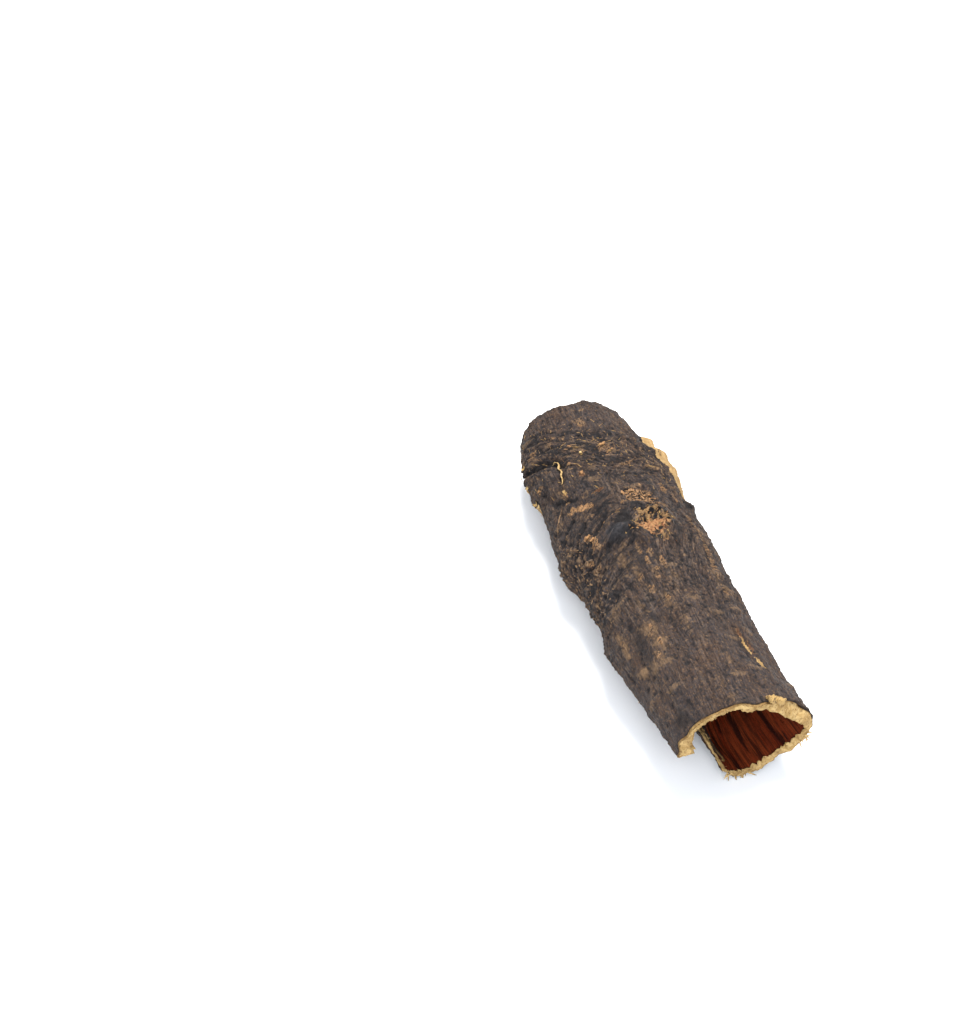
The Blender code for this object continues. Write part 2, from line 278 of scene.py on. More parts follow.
def line_distance(s, w, line):
    nearest = np.full(np.shape(s), 1.0)
    for (start_s, start_w), (end_s, end_w) in zip(line, line[1:]):
        run_s, run_w = end_s - start_s, end_w - start_w
        part = ((s - start_s) * run_s + (w - start_w) * run_w) / (run_s ** 2 + run_w ** 2)
        part = np.clip(part, 0.0, 1.0)
        gap = np.hypot(s - start_s - part * run_s, w - start_w - part * run_w)
        nearest = np.minimum(nearest, gap)
    return nearest


def lenticels():
    draw = random.Random(SEED)
    found = []
    while len(found) < LENTICEL_COUNT:
        s, w = draw.uniform(0.004, LENGTH - 0.004), draw.uniform(-0.019, 0.032)
        clear = math.hypot(s - KNOT_S, w - KNOT_W) > 2.5 * KNOT_RADIUS
        spaced = all(math.hypot(s - a, w - b) > 1.2 * LENTICEL_LENGTH for a, b in found)
        if clear and spaced:
            found.append((s, w))
    return found


def cad_relief(s, w):
    """The relief that the CAD wall has, as a height above the roll's outer curve."""
    back, side = s - KNOT_S, w - KNOT_W
    distance = np.hypot(back * 0.9, side)
    uneven = 0.8 + 0.6 * rough(s, w, 0.0030, 0.0030, 30)
    collar = KNOT_HEIGHT * uneven * hump(distance, KNOT_RADIUS, KNOT_RADIUS * 0.5)
    mound = 0.5 * KNOT_HEIGHT * hump(distance, 0.0, 2.2 * KNOT_RADIUS)
    pit = KNOT_PIT * hump(distance, 0.0, KNOT_RADIUS * 0.6)
    swept = swept_back(back, side)
    wander = 1.6 * rough(s, w, 0.0080, 0.0080, 31)
    folds = np.sin(2 * math.pi * swept / FOLD_SPACING + wander)
    reach = step(-side, 0.5 * KNOT_RADIUS, 1.4 * KNOT_RADIUS)
    reach = reach * (1 - step(-side, FOLD_REACH * 0.7, FOLD_REACH)) * hump(swept, 0.0, 0.0095)
    torn = TORN_DEPTH * hump(np.hypot(s - TORN_S, w - TORN_W), 0.0, TORN_RADIUS)
    relief = collar + mound - pit - torn + FOLD_HEIGHT * folds * reach
    ridges = rough(s, w, 0.0130, 0.0034, 40) + 0.6 * rough(s, w, 0.0060, 0.0022, 41)
    band = hump(s, WRINKLE_BAND_S, WRINKLE_BAND_WIDTH)
    across = rough(s + 0.25 * w, w, 0.0032, 0.0130, 42)
    relief += RIDGE_HEIGHT * ridges * (1 - 0.5 * band)
    relief += WRINKLE_HEIGHT * across * (0.15 + 0.85 * band)
    away = line_distance(s, w, CRACK)
    relief += CRACK_DEPTH * (0.8 * hump(away, 2.0 * CRACK_WIDTH, CRACK_WIDTH)
                             - hump(away, 0.0, CRACK_WIDTH))
    relief -= GROOVE_DEPTH * hump(line_distance(s, w, GROOVE), 0.0, GROOVE_WIDTH)
    lobe = np.hypot((s - LOBE[0]) * 1.3, (w - LOBE[1]) * 0.8)
    relief += LOBE_HEIGHT * hump(lobe, 0.0, LOBE_RADIUS)
    pores = np.zeros_like(s)
    for place_s, place_w in lenticels():
        shape = ((s - place_s) / LENTICEL_WIDTH) ** 2 + ((w - place_w) / LENTICEL_LENGTH) ** 2
        pores = np.maximum(pores, np.exp(-1.5 * shape))
    start, end = LIP_S
    reach = step(s, start, start + 0.020) * (1 - step(s, end - 0.0014, end))
    relief += LENTICEL_HEIGHT * pores + LIP_HEIGHT * reach * hump(w, LIP_W, LIP_WIDTH)
    relief += NUB_HEIGHT * hump(np.hypot(s - NUB_S, w - LIP_W), 0.0, NUB_RADIUS)
    return np.maximum(relief, LOWEST_RELIEF), pores


FINE_FOLD_HEIGHT = 0.00034
FINE_WRINKLE_HEIGHT = 0.00031
FIBRE_HEIGHT = 0.00010
NET_HEIGHT = 0.00013
LOBE_WRINKLES = 0.00022
CRUMB_HEIGHT = 0.00017
PIT_COUNT = 520
PIT_DEPTH = 0.00030
HOLE_DEPTH = 0.00080
CREASE_DEPTH = 0.00062
CREASE_WIDTH = 0.00042
SCAR_PLACE = (0.0487, 0.0016)
SCAR_HEART = (0.0475, 0.0016)
TORN_PLACE = (0.0583, 0.0022)
SCAR_HOLES = mm((51.7, 2.4, 0.5), (52.6, 1, 0.45), (51.4, 3.7, 0.4), (50.8, 4.9, 0.45),
                (50, 0.8, 0.35), (53.8, 1.4, 0.4), (48.9, 4.8, 0.4), (47.4, -2.6, 0.32),
                (50.1, 2.6, 0.35), (45.2, -3.8, 0.3), (54.5, 3, 0.35))
UNDERCUT = mm((56.6, -4.6), (55.8, -2.6), (54.5, -0.6), (53.8, 1))
DARK_CREASES = [
    mm((65, -14), (63.4, -11.8), (62.2, -9.6)),
    mm((79, -17.2), (76.8, -14), (76, -11.2)),
    mm((47.8, -3), (46.6, -5.2), (46.2, -8)),
    mm((53, -7.2), (50.5, -9.2), (47, -11.2), (43.6, -14)),
    mm((55.2, -10.2), (52, -12.2), (48.6, -14.8)),
    mm((57.5, -12), (56, -14.5), (54, -16.8)),
]


def creases(s, w, size_s, size_w, layer):
    """Sharp creases between rounded ridges, from 0 in a crease to 1 on a ridge."""
    return np.minimum(1.0, 2.2 * np.abs(rough(s, w, size_s, size_w, layer)))


def round_scar(s, w):
    """A sideways coordinate whose lines of equal value part to pass round the scar."""
    back, side = s - KNOT_S, w - KNOT_W
    away = back ** 2 + side ** 2
    return side * (1.0 - (1.15 * KNOT_RADIUS) ** 2 / (away + 0.6 * KNOT_RADIUS ** 2))


def across_place(s, w):
    """A coordinate across the folds beside the scar and across the wrinkles beyond it."""
    beyond = step(s + 0.3 * w, 0.0560, 0.0690)
    return swept_back(s, np.minimum(w - KNOT_W, 0.004)) * (1 - beyond) + (s + 0.50 * w) * beyond


def zones(s, w):
    """How strongly each kind of surface shows: scar, torn, folds, wrinkle band, crumbly, smooth."""
    edge = 0.0016 * rough(s, w, 0.0030, 0.0030, 50) + 0.0008 * rough(s, w, 0.0011, 0.0011, 62)
    scar_s, scar_w = s - SCAR_PLACE[0], w - SCAR_PLACE[1]
    scar = np.hypot(0.82 * (scar_s + 0.35 * scar_w), scar_w - 0.35 * scar_s)
    scar = 1 - step(scar + 1.1 * edge, 0.0025, 0.0044)
    torn_w = w - TORN_PLACE[1]
    torn_s = np.abs(s - TORN_PLACE[0] + 0.18 * torn_w) / 1.20
    torn = (torn_s ** 3 + (np.abs(torn_w) / 1.05) ** 3) ** (1 / 3)
    torn = 1 - step(torn + 0.8 * edge, 0.0024, 0.0031)
    side = w - KNOT_W
    folds = step(-side, 0.0020, 0.0050) * (1 - step(-side, 0.0165, 0.0215))
    folds = folds * hump(swept_back(s - KNOT_S, side), 0.003, 0.0130)
    band = hump(s + 0.45 * w, 0.0750, 0.0085) * (1 - step(w, 0.012, 0.018))
    strip = step(-w + edge, 0.0095, 0.0130) * step(s, 0.0270, 0.0350) * (1 - step(s, 0.050, 0.056))
    lobe = hump(np.hypot((s - LOBE[0]) * 1.2, (w - LOBE[1]) * 0.85), 0.0, LOBE_RADIUS * 0.9)
    far = step(s, 0.0795, 0.0850)
    near = 1 - step(s + edge * 3, 0.0200, 0.0330)
    smooth = np.clip(0.75 * near + 0.60 * far, 0, 1)
    return scar, torn, folds, band, strip, smooth


def fine_relief(s, w, zone):
    """Folds, wrinkles, fibres, crumbs and pits that are too small for the CAD wall."""
    scar, torn, folds, band, strip, smooth = zone
    across = across_place(s, w) + 0.0007 * rough(s, w, 0.0042, 0.0042, 51)
    fold = creases(across, w, 0.00230, 0.0085, 53)
    fine = creases(across, w, 0.00115, 0.0042, 54)
    thin = creases(across, w, 0.00065, 0.0021, 57)
    relief = FINE_FOLD_HEIGHT * (fold - 0.75) * folds
    relief += 0.5 * FINE_FOLD_HEIGHT * (fine - 0.75) * folds
    relief += FINE_WRINKLE_HEIGHT * band * (0.8 * fold + 0.9 * fine + 0.5 * thin - 1.65)
    round_w = round_scar(s, w) + 0.0006 * rough(s, w, 0.0060, 0.0040, 55)
    fibre = creases(s + 0.12 * w, round_w, 0.0070, 0.00120, 56)
    fibre = fibre + 0.7 * creases(s, round_w, 0.0036, 0.00065, 59) - 1.25
    quiet = (1 - 0.75 * band) * (1 - 0.75 * folds) * (1 - 0.65 * smooth) * (1 - scar)
    relief += FIBRE_HEIGHT * fibre * quiet
    lumps = rough(s, w, 0.0012, 0.0010, 58) + 0.7 * rough(s, w, 0.0006, 0.0005, 63)
    relief += CRUMB_HEIGHT * lumps * np.clip(strip + 1.3 * scar + 0.8 * torn + 0.15, 0, 1.4)
    net = creases(s, w, 0.0022, 0.0017, 96) + 0.7 * creases(s, w, 0.0011, 0.0009, 97) - 1.2
    relief += NET_HEIGHT * net * (1 - 0.6 * band) * (1 - 0.55 * smooth) * (1 - scar)
    lobe = hump(np.hypot((s - LOBE[0]) * 1.2, w - LOBE[1]), 0.0, LOBE_RADIUS)
    relief += LOBE_WRINKLES * lobe * (creases(s + 0.5 * w, w, 0.0010, 0.0016, 79) - 0.6)
    relief += 0.00008 * rough(s, w, 0.0007, 0.0007, 60) + 0.00006 * rough(s, w, 0.0004, 0.0004, 61)
    # The scar's pit is mostly filled by a crumbly heart, with small deep holes round it.
    distance = np.hypot(s - KNOT_S, w - KNOT_W)
    relief += 0.00075 * hump(distance, 0.0, KNOT_RADIUS * 0.65)
    uneven = rough(s, w, 0.002, 0.002, 64) + 0.6
    relief -= 0.00030 * hump(distance, KNOT_RADIUS, KNOT_RADIUS * 0.35) * uneven
    for hole_s, hole_w, radius in SCAR_HOLES:
        ragged = 0.25 * radius * rough(s, w, 0.0005, 0.0005, 65)
        away = np.hypot(s - hole_s, w - hole_w) + ragged
        relief -= HOLE_DEPTH * (1 - step(away, 0.5 * radius, 1.5 * radius))
    sway = 0.0004 * rough(s, w, 0.0020, 0.0020, 66)
    broken = np.clip(0.7 + 0.9 * rough(s, w, 0.0016, 0.0016, 95), 0.1, 1.2)
    relief -= 0.00050 * broken * hump(line_distance(s + sway, w, UNDERCUT), 0.0, 0.00036)
    for line, depth in [(CRACK[:4], 0.00060)] + [(line, CREASE_DEPTH) for line in DARK_CREASES]:
        relief -= depth * hump(line_distance(s + sway, w + sway, line), 0.0, CREASE_WIDTH)
    # Broken steps in the torn patch, each a thin layer of bark lifted at its edge.
    layer = (s + 0.35 * w) / 0.0011 + 0.8 * rough(s, w, 0.0020, 0.0012, 67)
    relief += torn * 0.00055 * ((layer % 1.0) - 0.4)
    slant = s + 0.5 * w
    shreds = rough(slant, w, 0.0006, 0.0022, 68) + 0.6 * rough(slant, w, 0.0003, 0.0012, 69)
    relief += torn * 0.00013 * shreds
    draw = random.Random(SEED + 1)
    for _ in range(PIT_COUNT):
        pit_s, pit_w = draw.uniform(0.002, LENGTH - 0.002), draw.uniform(-0.021, 0.042)
        size = draw.uniform(0.00014, 0.00040)
        chosen = np.flatnonzero((np.abs(s - pit_s) < 4 * size) & (np.abs(w - pit_w) < 4 * size))
        gap = np.hypot((s[chosen] - pit_s) * 0.8, w[chosen] - pit_w)
        relief[chosen] -= PIT_DEPTH * (size / 0.00042) * hump(gap, 0.0, size)
    return relief


# Where the cork is worn to tan or orange, split to cream, or stained dark, as ellipses in
# millimetres: s, w, the radius along s, the radius along w, and the turn in degrees.
# Before them come the seed of their ragged edge and how soft that edge is.
PATCHES = {
    "worn": (80, 0.85, [
        (23, -7.9, 2.4, 1.5, 0), (19, -7.2, 2, 1.3, 20), (16.3, -8.2, 1.5, 1, 0),
        (24.8, -13.9, 1.4, 0.8, 0), (22.2, -13.7, 1.8, 0.8, 0), (15.2, -10, 1.6, 1, 0),
        (16, -12.4, 1.3, 0.8, 0), (41.6, -6.9, 1.8, 0.9, 0)]),
    "faded": (80, 0.85, [
        (26.8, -2.3, 1.8, 1.2, 0), (22.2, -1.2, 1.7, 0.9, 0), (19.9, -1.1, 1.2, 0.8, 0),
        (16.3, 0, 1.3, 0.9, 0), (11.6, 2.3, 2.4, 0.7, 0), (7.8, 2.3, 2, 0.6, 0),
        (6.5, -0.9, 1.8, 0.8, 0), (2.2, 0, 1.6, 1, 0), (32, -4, 2.4, 1.2, 0),
        (36.5, -5.5, 2.4, 1, 0), (38.5, 0, 2, 1, 0), (35.4, -2.2, 1.8, 1, 0),
        (29, -2.3, 2, 1.1, 0), (34.5, 1.2, 2.6, 1.6, 0), (46.2, 11.4, 3, 0.6, 2),
        (41, 11.3, 4, 0.6, 0), (36, 10.9, 5, 0.6, 4), (31, 9.9, 3, 0.6, 4),
        (28.4, -7.7, 2, 1.2, 0), (30.5, -12.2, 2, 1, 0)]),
    "tan": (82, 0.35, [
        (50.6, -11, 0.6, 1.2, 20), (48.2, -10, 0.5, 1, 25), (47.1, -9.9, 0.4, 1.1, 20),
        (42.8, -12.3, 0.6, 1.2, 10), (45.4, -12.9, 0.5, 0.9, 0), (52.1, -7.5, 0.3, 1.1, 30),
        (53.8, -3.7, 0.3, 1.6, 25), (56.6, -1.3, 0.3, 1, 20), (85.4, -1.1, 1.6, 1.2, 0),
        (89.2, 0.8, 0.5, 0.6, 0), (75.8, 1.5, 0.7, 1.6, 25), (74.1, 2.4, 0.5, 1.4, 25),
        (70, 4.5, 0.5, 2, 25), (77.5, -6.4, 0.4, 2, 28), (71.5, -15.2, 0.7, 1.4, 10),
        (81.9, -13.4, 0.6, 0.9, 0), (81.3, -14.6, 0.5, 0.9, 0), (71.5, -7.7, 0.4, 0.7, 0),
        (64.7, -11.2, 1.4, 0.6, 10), (62.7, -11.2, 0.6, 0.6, 0), (80.9, -16.3, 0.8, 0.6, 0),
        (82.6, -7.6, 0.3, 1, 25), (55.4, -14.8, 0.4, 0.8, 0), (59.6, -12.5, 0.4, 0.5, 0),
        (56, -8.5, 0.3, 0.8, 30), (61.7, 9, 1.6, 0.6, 0), (58.9, 11, 2, 0.6, 0),
        (54.4, 5.9, 0.6, 1, 20), (43.9, 2.6, 0.8, 0.7, 0), (46.7, 4, 0.6, 0.6, 0),
        (46.6, 11.3, 2.4, 0.6, 0), (42.5, 11.2, 2.4, 0.6, 2), (38.6, 11, 2.6, 0.6, 2),
        (34.5, 10.4, 3, 0.5, 4), (30.5, 9.7, 1.8, 0.5, 4), (50.5, 10.8, 2, 0.5, 0),
        (75.9, 9.9, 1, 0.4, 0), (52.8, 2.2, 0.8, 0.5, 0), (43.2, -3, 1.3, 0.5, 0),
        (41.5, -1.2, 1, 0.5, 10), (39.5, -2.4, 1.2, 0.5, 0), (38.3, 0.4, 1.4, 0.6, 5),
        (37.2, -1.4, 0.7, 0.6, 0), (35.6, -5.2, 1.2, 0.5, 0), (34.8, -2, 1, 0.5, 0),
        (31.8, -4.2, 1.2, 0.5, 0), (28.8, -2.2, 0.9, 0.5, 0), (23.2, -7.6, 1, 0.6, 15),
        (21.6, -8.2, 0.8, 0.5, 0), (19, -7.1, 1, 0.5, 0), (16.5, -8.3, 0.8, 0.4, 0),
        (23.6, -13.8, 1.2, 0.4, 0)]),
    "orange": (84, 0.30, [
        (59.1, -9.4, 0.9, 2.5, -18), (68.5, -5.8, 0.4, 0.7, -15), (65.2, -10.8, 0.8, 0.4, 10),
        (76.7, 0.8, 0.4, 0.9, 25), (74.4, 2, 0.3, 0.9, 25), (50.8, -10.8, 0.3, 0.8, 20),
        (48.9, -10.2, 0.3, 0.7, 25), (71.4, -15, 0.3, 0.8, 10)]),
    "rust": (94, 0.30, [
        (68.2, -6, 1, 0.5, -15), (61.8, -4.6, 0.5, 1.4, 20), (17.6, 7.8, 2, 0.3, 4),
        (15, 8.6, 2.2, 0.28, 4)]),
    "cream": (86, 0.30, [
        (14.6, 8.1, 2, 0.3, 5), (10.5, 8.9, 1.4, 0.3, 5), (75.2, -4, 0.3, 0.4, 0),
        (76, 1.2, 0.3, 0.6, 20)]),
    "dark": (88, 0.85, [
        (2.9, -8.8, 1.8, 1.3, 0), (2.6, -10.4, 1.4, 1.2, 0), (15, 7.4, 2.4, 1, 0),
        (21, -10.5, 3, 1.2, 0), (17.2, -10, 1.2, 0.7, 0), (25, -6, 1.6, 0.9, 0),
        (47, 6.6, 1.4, 0.6, 0), (40.6, -0.2, 1, 0.6, 0), (38.8, -3.6, 1.2, 0.6, 0),
        (36.4, 0.2, 0.8, 0.5, 0), (42, -4.4, 1, 0.5, 0), (34, -3.4, 1.2, 0.5, 0),
        (58.5, 15.5, 1.6, 1.6, 0)]),
}
ORANGE_RISE = 0.00028
LIP_TRIM = 0.0008


def patches(s, w, kind):
    """1 inside ragged ellipses and 0 outside, with a wide soft edge where soft is large."""
    seed, soft, places = PATCHES[kind]
    found = np.zeros_like(s)
    ragged = 0.35 * rough(s, w, 0.0013, 0.0010, seed) + 0.30 * rough(s, w, 0.0006, 0.0005, seed + 1)
    for place_s, place_w, radius_s, radius_w, turn in places:
        c, n = math.cos(math.radians(turn)), math.sin(math.radians(turn))
        run, rise = s * 1000 - place_s, w * 1000 - place_w
        gap = np.hypot((run * c - rise * n) / radius_s, (run * n + rise * c) / radius_w)
        found = np.maximum(found, 1 - step(gap + ragged, 1.0 - soft, 1.0 + soft))
    return found


class Value:
    """What a node puts out, with plain arithmetic that adds Math nodes."""

    def __init__(self, nodes, socket):
        self.nodes, self.socket = nodes, socket

    def also(self, name):
        """Another output of the same node."""
        return Value(self.nodes, self.socket.node.outputs[name])

    def __add__(self, other):
        return self.nodes.math("ADD", self, other)

    def __sub__(self, other):
        return self.nodes.math("SUBTRACT", self, other)

    def __rsub__(self, other):
        return self.nodes.math("SUBTRACT", other, self)

    def __mul__(self, other):
        return self.nodes.math("MULTIPLY", self, other)

    def __truediv__(self, other):
        return self.nodes.math("DIVIDE", self, other)

    def __rtruediv__(self, other):
        return self.nodes.math("DIVIDE", other, self)

    def __pow__(self, other):
        return self.nodes.math("POWER", self, other)

    def __abs__(self):
        return self.nodes.math("ABSOLUTE", self, 0.0)


class Nodes:
    """Places nodes in one tree by their names and joins them."""

    def __init__(self, tree):
        self.tree = tree

    def add(self, kind, inputs=None, out=0, **settings):
        """A new node's output. Its inputs are numbers, colours or other nodes' outputs."""
        node = self.tree.nodes.new(kind)
        for key, value in settings.items():
            setattr(node, key, value)
        for key, value in (inputs or {}).items():
            if isinstance(value, Value):
                self.join(value, node.inputs[key])
            else:
                node.inputs[key].default_value = value
        return Value(self, node.outputs[out])

    def join(self, value, socket):
        self.tree.links.new(value.socket, socket)

    def math(self, operation, a, b):
        return self.add("ShaderNodeMath", {0: a, 1: b}, operation=operation)

    def vector(self, operation, a, b):
        return self.add("ShaderNodeVectorMath", {0: a, 1: b}, operation=operation)

    def scaled(self, vector, scale):
        return self.add("ShaderNodeVectorMath", {0: vector, "Scale": scale}, operation="SCALE")

    def xyz(self, **parts):
        return self.add("ShaderNodeCombineXYZ", parts)

    def mask(self, name, out="Fac"):
        return self.add("ShaderNodeAttribute", out=out, attribute_name=name)

    def named(self, name, kind="FLOAT"):
        return self.add("GeometryNodeInputNamedAttribute", {"Name": name}, data_type=kind)

    def keep(self, geometry, name, value, domain):
        """Geometry with a number kept on it under a name."""
        return self.add("GeometryNodeStoreNamedAttribute", {
            "Geometry": geometry, "Name": name, "Value": value}, data_type="FLOAT", domain=domain)

    def fade(self, value, low, high, to_low=0.0, to_high=1.0):
        values = {"Value": value, 1: low, 2: high, 3: to_low, 4: to_high}
        return self.add("ShaderNodeMapRange", values, interpolation_type="SMOOTHSTEP")

    def mix(self, factor, a, b):
        return self.add("ShaderNodeMix", {0: factor, 2: a, 3: b})

    def layer(self, colour, *layers):
        """Colours laid over one colour in turn, each where its mask is 1."""
        for mask, top in layers:
            colour = self.add("ShaderNodeMix", {0: mask, 6: colour, 7: top}, 2, data_type="RGBA")
        return colour

    def noise(self, vector, scale, detail, distortion=0.0, out=0):
        values = {"Vector": vector, "Scale": scale, "Detail": detail, "Distortion": distortion}
        return self.add("ShaderNodeTexNoise", values, out)

    def grain(self, vector, sizes, detail=3.0, distortion=0.0):
        """Noise in lumps of the sizes given in millimetres."""
        scale = tuple(1000.0 / size for size in sizes)
        return self.noise(self.vector("MULTIPLY", vector, scale), 1.0, detail, distortion)

def new_group(name, kind, inputs, outputs):
    """An empty node group: its nodes, and functions that read its inputs and set its outputs."""
    tree = bpy.data.node_groups.new(name, kind)
    for way, sockets in (("INPUT", inputs), ("OUTPUT", outputs)):
        for label, sort, value in sockets:
            socket = tree.interface.new_socket(label, in_out=way, socket_type="NodeSocket" + sort)
            if value is not None:
                socket.default_value = value
    nodes = Nodes(tree)
    given, made = tree.nodes.new("NodeGroupInput").outputs, tree.nodes.new("NodeGroupOutput").inputs
    return (nodes, lambda key: Value(nodes, given[key]),
            lambda key, value: nodes.join(value, made[key]))


def shape_tree(name, inputs):
    """A Geometry Nodes group with the inputs that every shape here has, and its own."""
    shared = [("Geometry", "Geometry", None), ("Finish", "Material", None)]
    return new_group(name, "GeometryNodeTree", shared + inputs, shared[:1])


def end_shape(nodes, given, made, geometry):
    """Ends a Geometry Nodes group: real geometry with its finish set."""
    real = nodes.add("GeometryNodeRealizeInstances", {"Geometry": geometry})
    values = {"Geometry": real, "Material": given("Finish")}
    made("Geometry", nodes.add("GeometryNodeSetMaterial", values))
    return nodes.tree


def apply_tree(mesh, tree, values):
    """Runs a Geometry Nodes tree on a mesh and returns the plain mesh that it makes."""
    carrier = bpy.data.objects.new("carrier", mesh)
    bpy.context.scene.collection.objects.link(carrier)
    modifier = carrier.modifiers.new("shape", "NODES")
    modifier.node_group = tree
    for item in tree.interface.items_tree:
        if item.item_type == "SOCKET" and item.in_out == "INPUT" and item.name in values:
            modifier[item.identifier] = values[item.name]
    bpy.context.view_layer.update()
    ready = carrier.evaluated_get(bpy.context.evaluated_depsgraph_get())
    made = bpy.data.meshes.new_from_object(ready)
    carrier.modifiers.remove(modifier)
    bpy.data.objects.remove(carrier)
    return made


def store(mesh, name, values):
    values = np.asarray(values, dtype=np.float32)
    kind, key = ("FLOAT", "value") if values.ndim == 1 else ("FLOAT_VECTOR", "vector")
    mesh.attributes.new(name, kind, "POINT").data.foreach_set(key, values.ravel())


def new_mesh(name, points, faces, edges=()):
    mesh = bpy.data.meshes.new(name)
    mesh.from_pydata(points.tolist(), edges, faces)
    return mesh


def new_piece(name, mesh):
    mesh.name = name
    piece = bpy.data.objects.new(name, mesh)
    bpy.context.scene.collection.objects.link(piece)
    return piece


BOX_GAP = 0.00002


def bark_piece(name, mesh, finish=None):
    """A smooth piece of the bark, kept inside the CAD box and tied to the bark."""
    mesh.polygons.foreach_set("use_smooth", [True] * len(mesh.polygons))
    if finish:
        mesh.materials.append(finish)
    places = np.zeros(len(mesh.vertices) * 3)
    mesh.vertices.foreach_get("co", places)
    low, high = np.array(cad_box[0]), np.array(cad_box[1])
    places = np.clip(places.reshape(-1, 3), low + (BOX_GAP, BOX_GAP, 0.0), high - BOX_GAP)
    mesh.vertices.foreach_set("co", places.ravel())
    mesh.update()
    piece = new_piece(name, mesh)
    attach(piece, "root")
    return piece


CORK_THICKNESS = 0.00050
DEEP_COVER = 0.00080
THINNEST = 0.00030
CORK_GRID = (372, 246)
CORK_BACK_GRID = (60, 44)
RIM_BARED = 0.0003


def cork_floor(s, w, relief, cover, near, far):
    """The height of a layer under the cork: shallow at the rims, and deep away from them."""
    at_side = np.minimum(w - left_edge(s), right_edge(s) - w)
    at_rim = np.minimum(np.minimum(s - near, far - s), at_side)
    deep = cover + DEEP_COVER * step(at_rim, 0.0012, 0.0030)
    return np.maximum(relief - deep, THINNEST - WALL)


def grid_places(grid, near_end, far_end, left, right):
    """The s and w of each point of a grid, row by row from the near end."""
    u, v = np.meshgrid(*(np.linspace(0, 1, count + 1) for count in grid), indexing="ij")
    u, v = u.ravel(), v.ravel()
    w = left(LENGTH * u) + (right(LENGTH * u) - left(LENGTH * u)) * v
    near, far = near_end(w), LENGTH - far_end(w)
    return near + (far - near) * u, w


def grid_faces(grid, first, flip):
    rows, columns = grid
    ids = first + np.arange((rows + 1) * (columns + 1)).reshape(rows + 1, columns + 1)
    corners = [ids[:-1, :-1], ids[1:, :-1], ids[1:, 1:], ids[:-1, 1:]]
    faces = np.stack([corner.ravel() for corner in corners], axis=1)
    border = [ids[0, :], ids[:, -1], ids[-1, ::-1], ids[::-1, 0]]
    return (faces[:, ::-1] if flip else faces).tolist(), border


def joined_borders(outer, inner):
    """Triangles between two grids' borders, side by side from corner to corner."""
    faces = []
    for a, b in zip(outer, inner):
        i, j = 0, 0
        while i < len(a) - 1 or j < len(b) - 1:
            ahead = (i + 1) * (len(b) - 1) <= (j + 1) * (len(a) - 1)
            if i < len(a) - 1 and (ahead or j == len(b) - 1):
                faces.append((int(a[i]), int(a[i + 1]), int(b[j])))
                i += 1
            else:
                faces.append((int(a[i]), int(b[j + 1]), int(b[j])))
                j += 1
    return faces


def cork_near(w):
    chips = 0.00016 * rough(0.0, w, 1.0, 0.0016, 70) + 0.00009 * rough(0.0, w, 1.0, 0.0006, 71)
    bevel = BEVEL_LENGTH * hump(w, BEVEL_W, BEVEL_WIDTH) + RIM_BARED * hump(w, 0.0125, 0.0042)
    return end_tear(w, 7) + bevel + 0.00042 + chips


def cork_far(w):
    chips = 0.00022 * rough(0.0, w, 1.0, 0.0011, 72) + 0.00012 * rough(0.0, w, 1.0, 0.0005, 73)
    return far_tear(w) + 0.00035 + chips


def cork_left(s):
    torn_back = 1 - 0.75 * (1 - step(s, 0.030, 0.060))
    chips = 0.00030 * rough(s, 0.0, 0.0015, 1.0, 74) + 0.00014 * rough(s, 0.0, 0.0007, 1.0, 75)
    bared = 0.0034 * hump(s, 0.0792, 0.0024) + 0.0032 * hump(s, 0.0702, 0.0013)
    bared = bared * (1 + 0.5 * rough(s, 0.0, 0.0011, 1.0, 78))
    return left_edge(s) + 0.00012 + (chips + 0.00018) * torn_back + bared


def cork_right(s):
    chips = 0.00030 * rough(s, 0.0, 0.0013, 1.0, 76) + 0.00016 * rough(s, 0.0, 0.0006, 1.0, 77)
    return right_edge(s) - 0.00040 - chips


def lip_mask(s, w):
    """The bared lip of bast on the right flank: a tapering strip, ragged all round."""
    start = LIP_W - 0.0012 - 0.0012 * step(s, 0.0600, 0.0820)
    start += 0.0003 * rough(s, w, 0.0020, 0.0020, 91)
    end = LIP_W - 0.0004 + 0.0030 * step(s, 0.0590, 0.0740) - 0.0016 * step(s, 0.0790, 0.0860)
    end += 0.0009 * rough(s, w, 0.0060, 0.0020, 90) + 0.0005 * rough(s, w, 0.0030, 0.0006, 98)
    lip = step(w, start, start + 0.0003) * (1 - step(w, end, end + 0.0003))
    frayed = s + 0.0013 * rough(s, w, 0.0040, 0.0011, 99) + 0.35 * (w - LIP_W)
    return lip * step(frayed, 0.0595, 0.0610) * (1 - step(frayed, 0.0846, 0.0850))


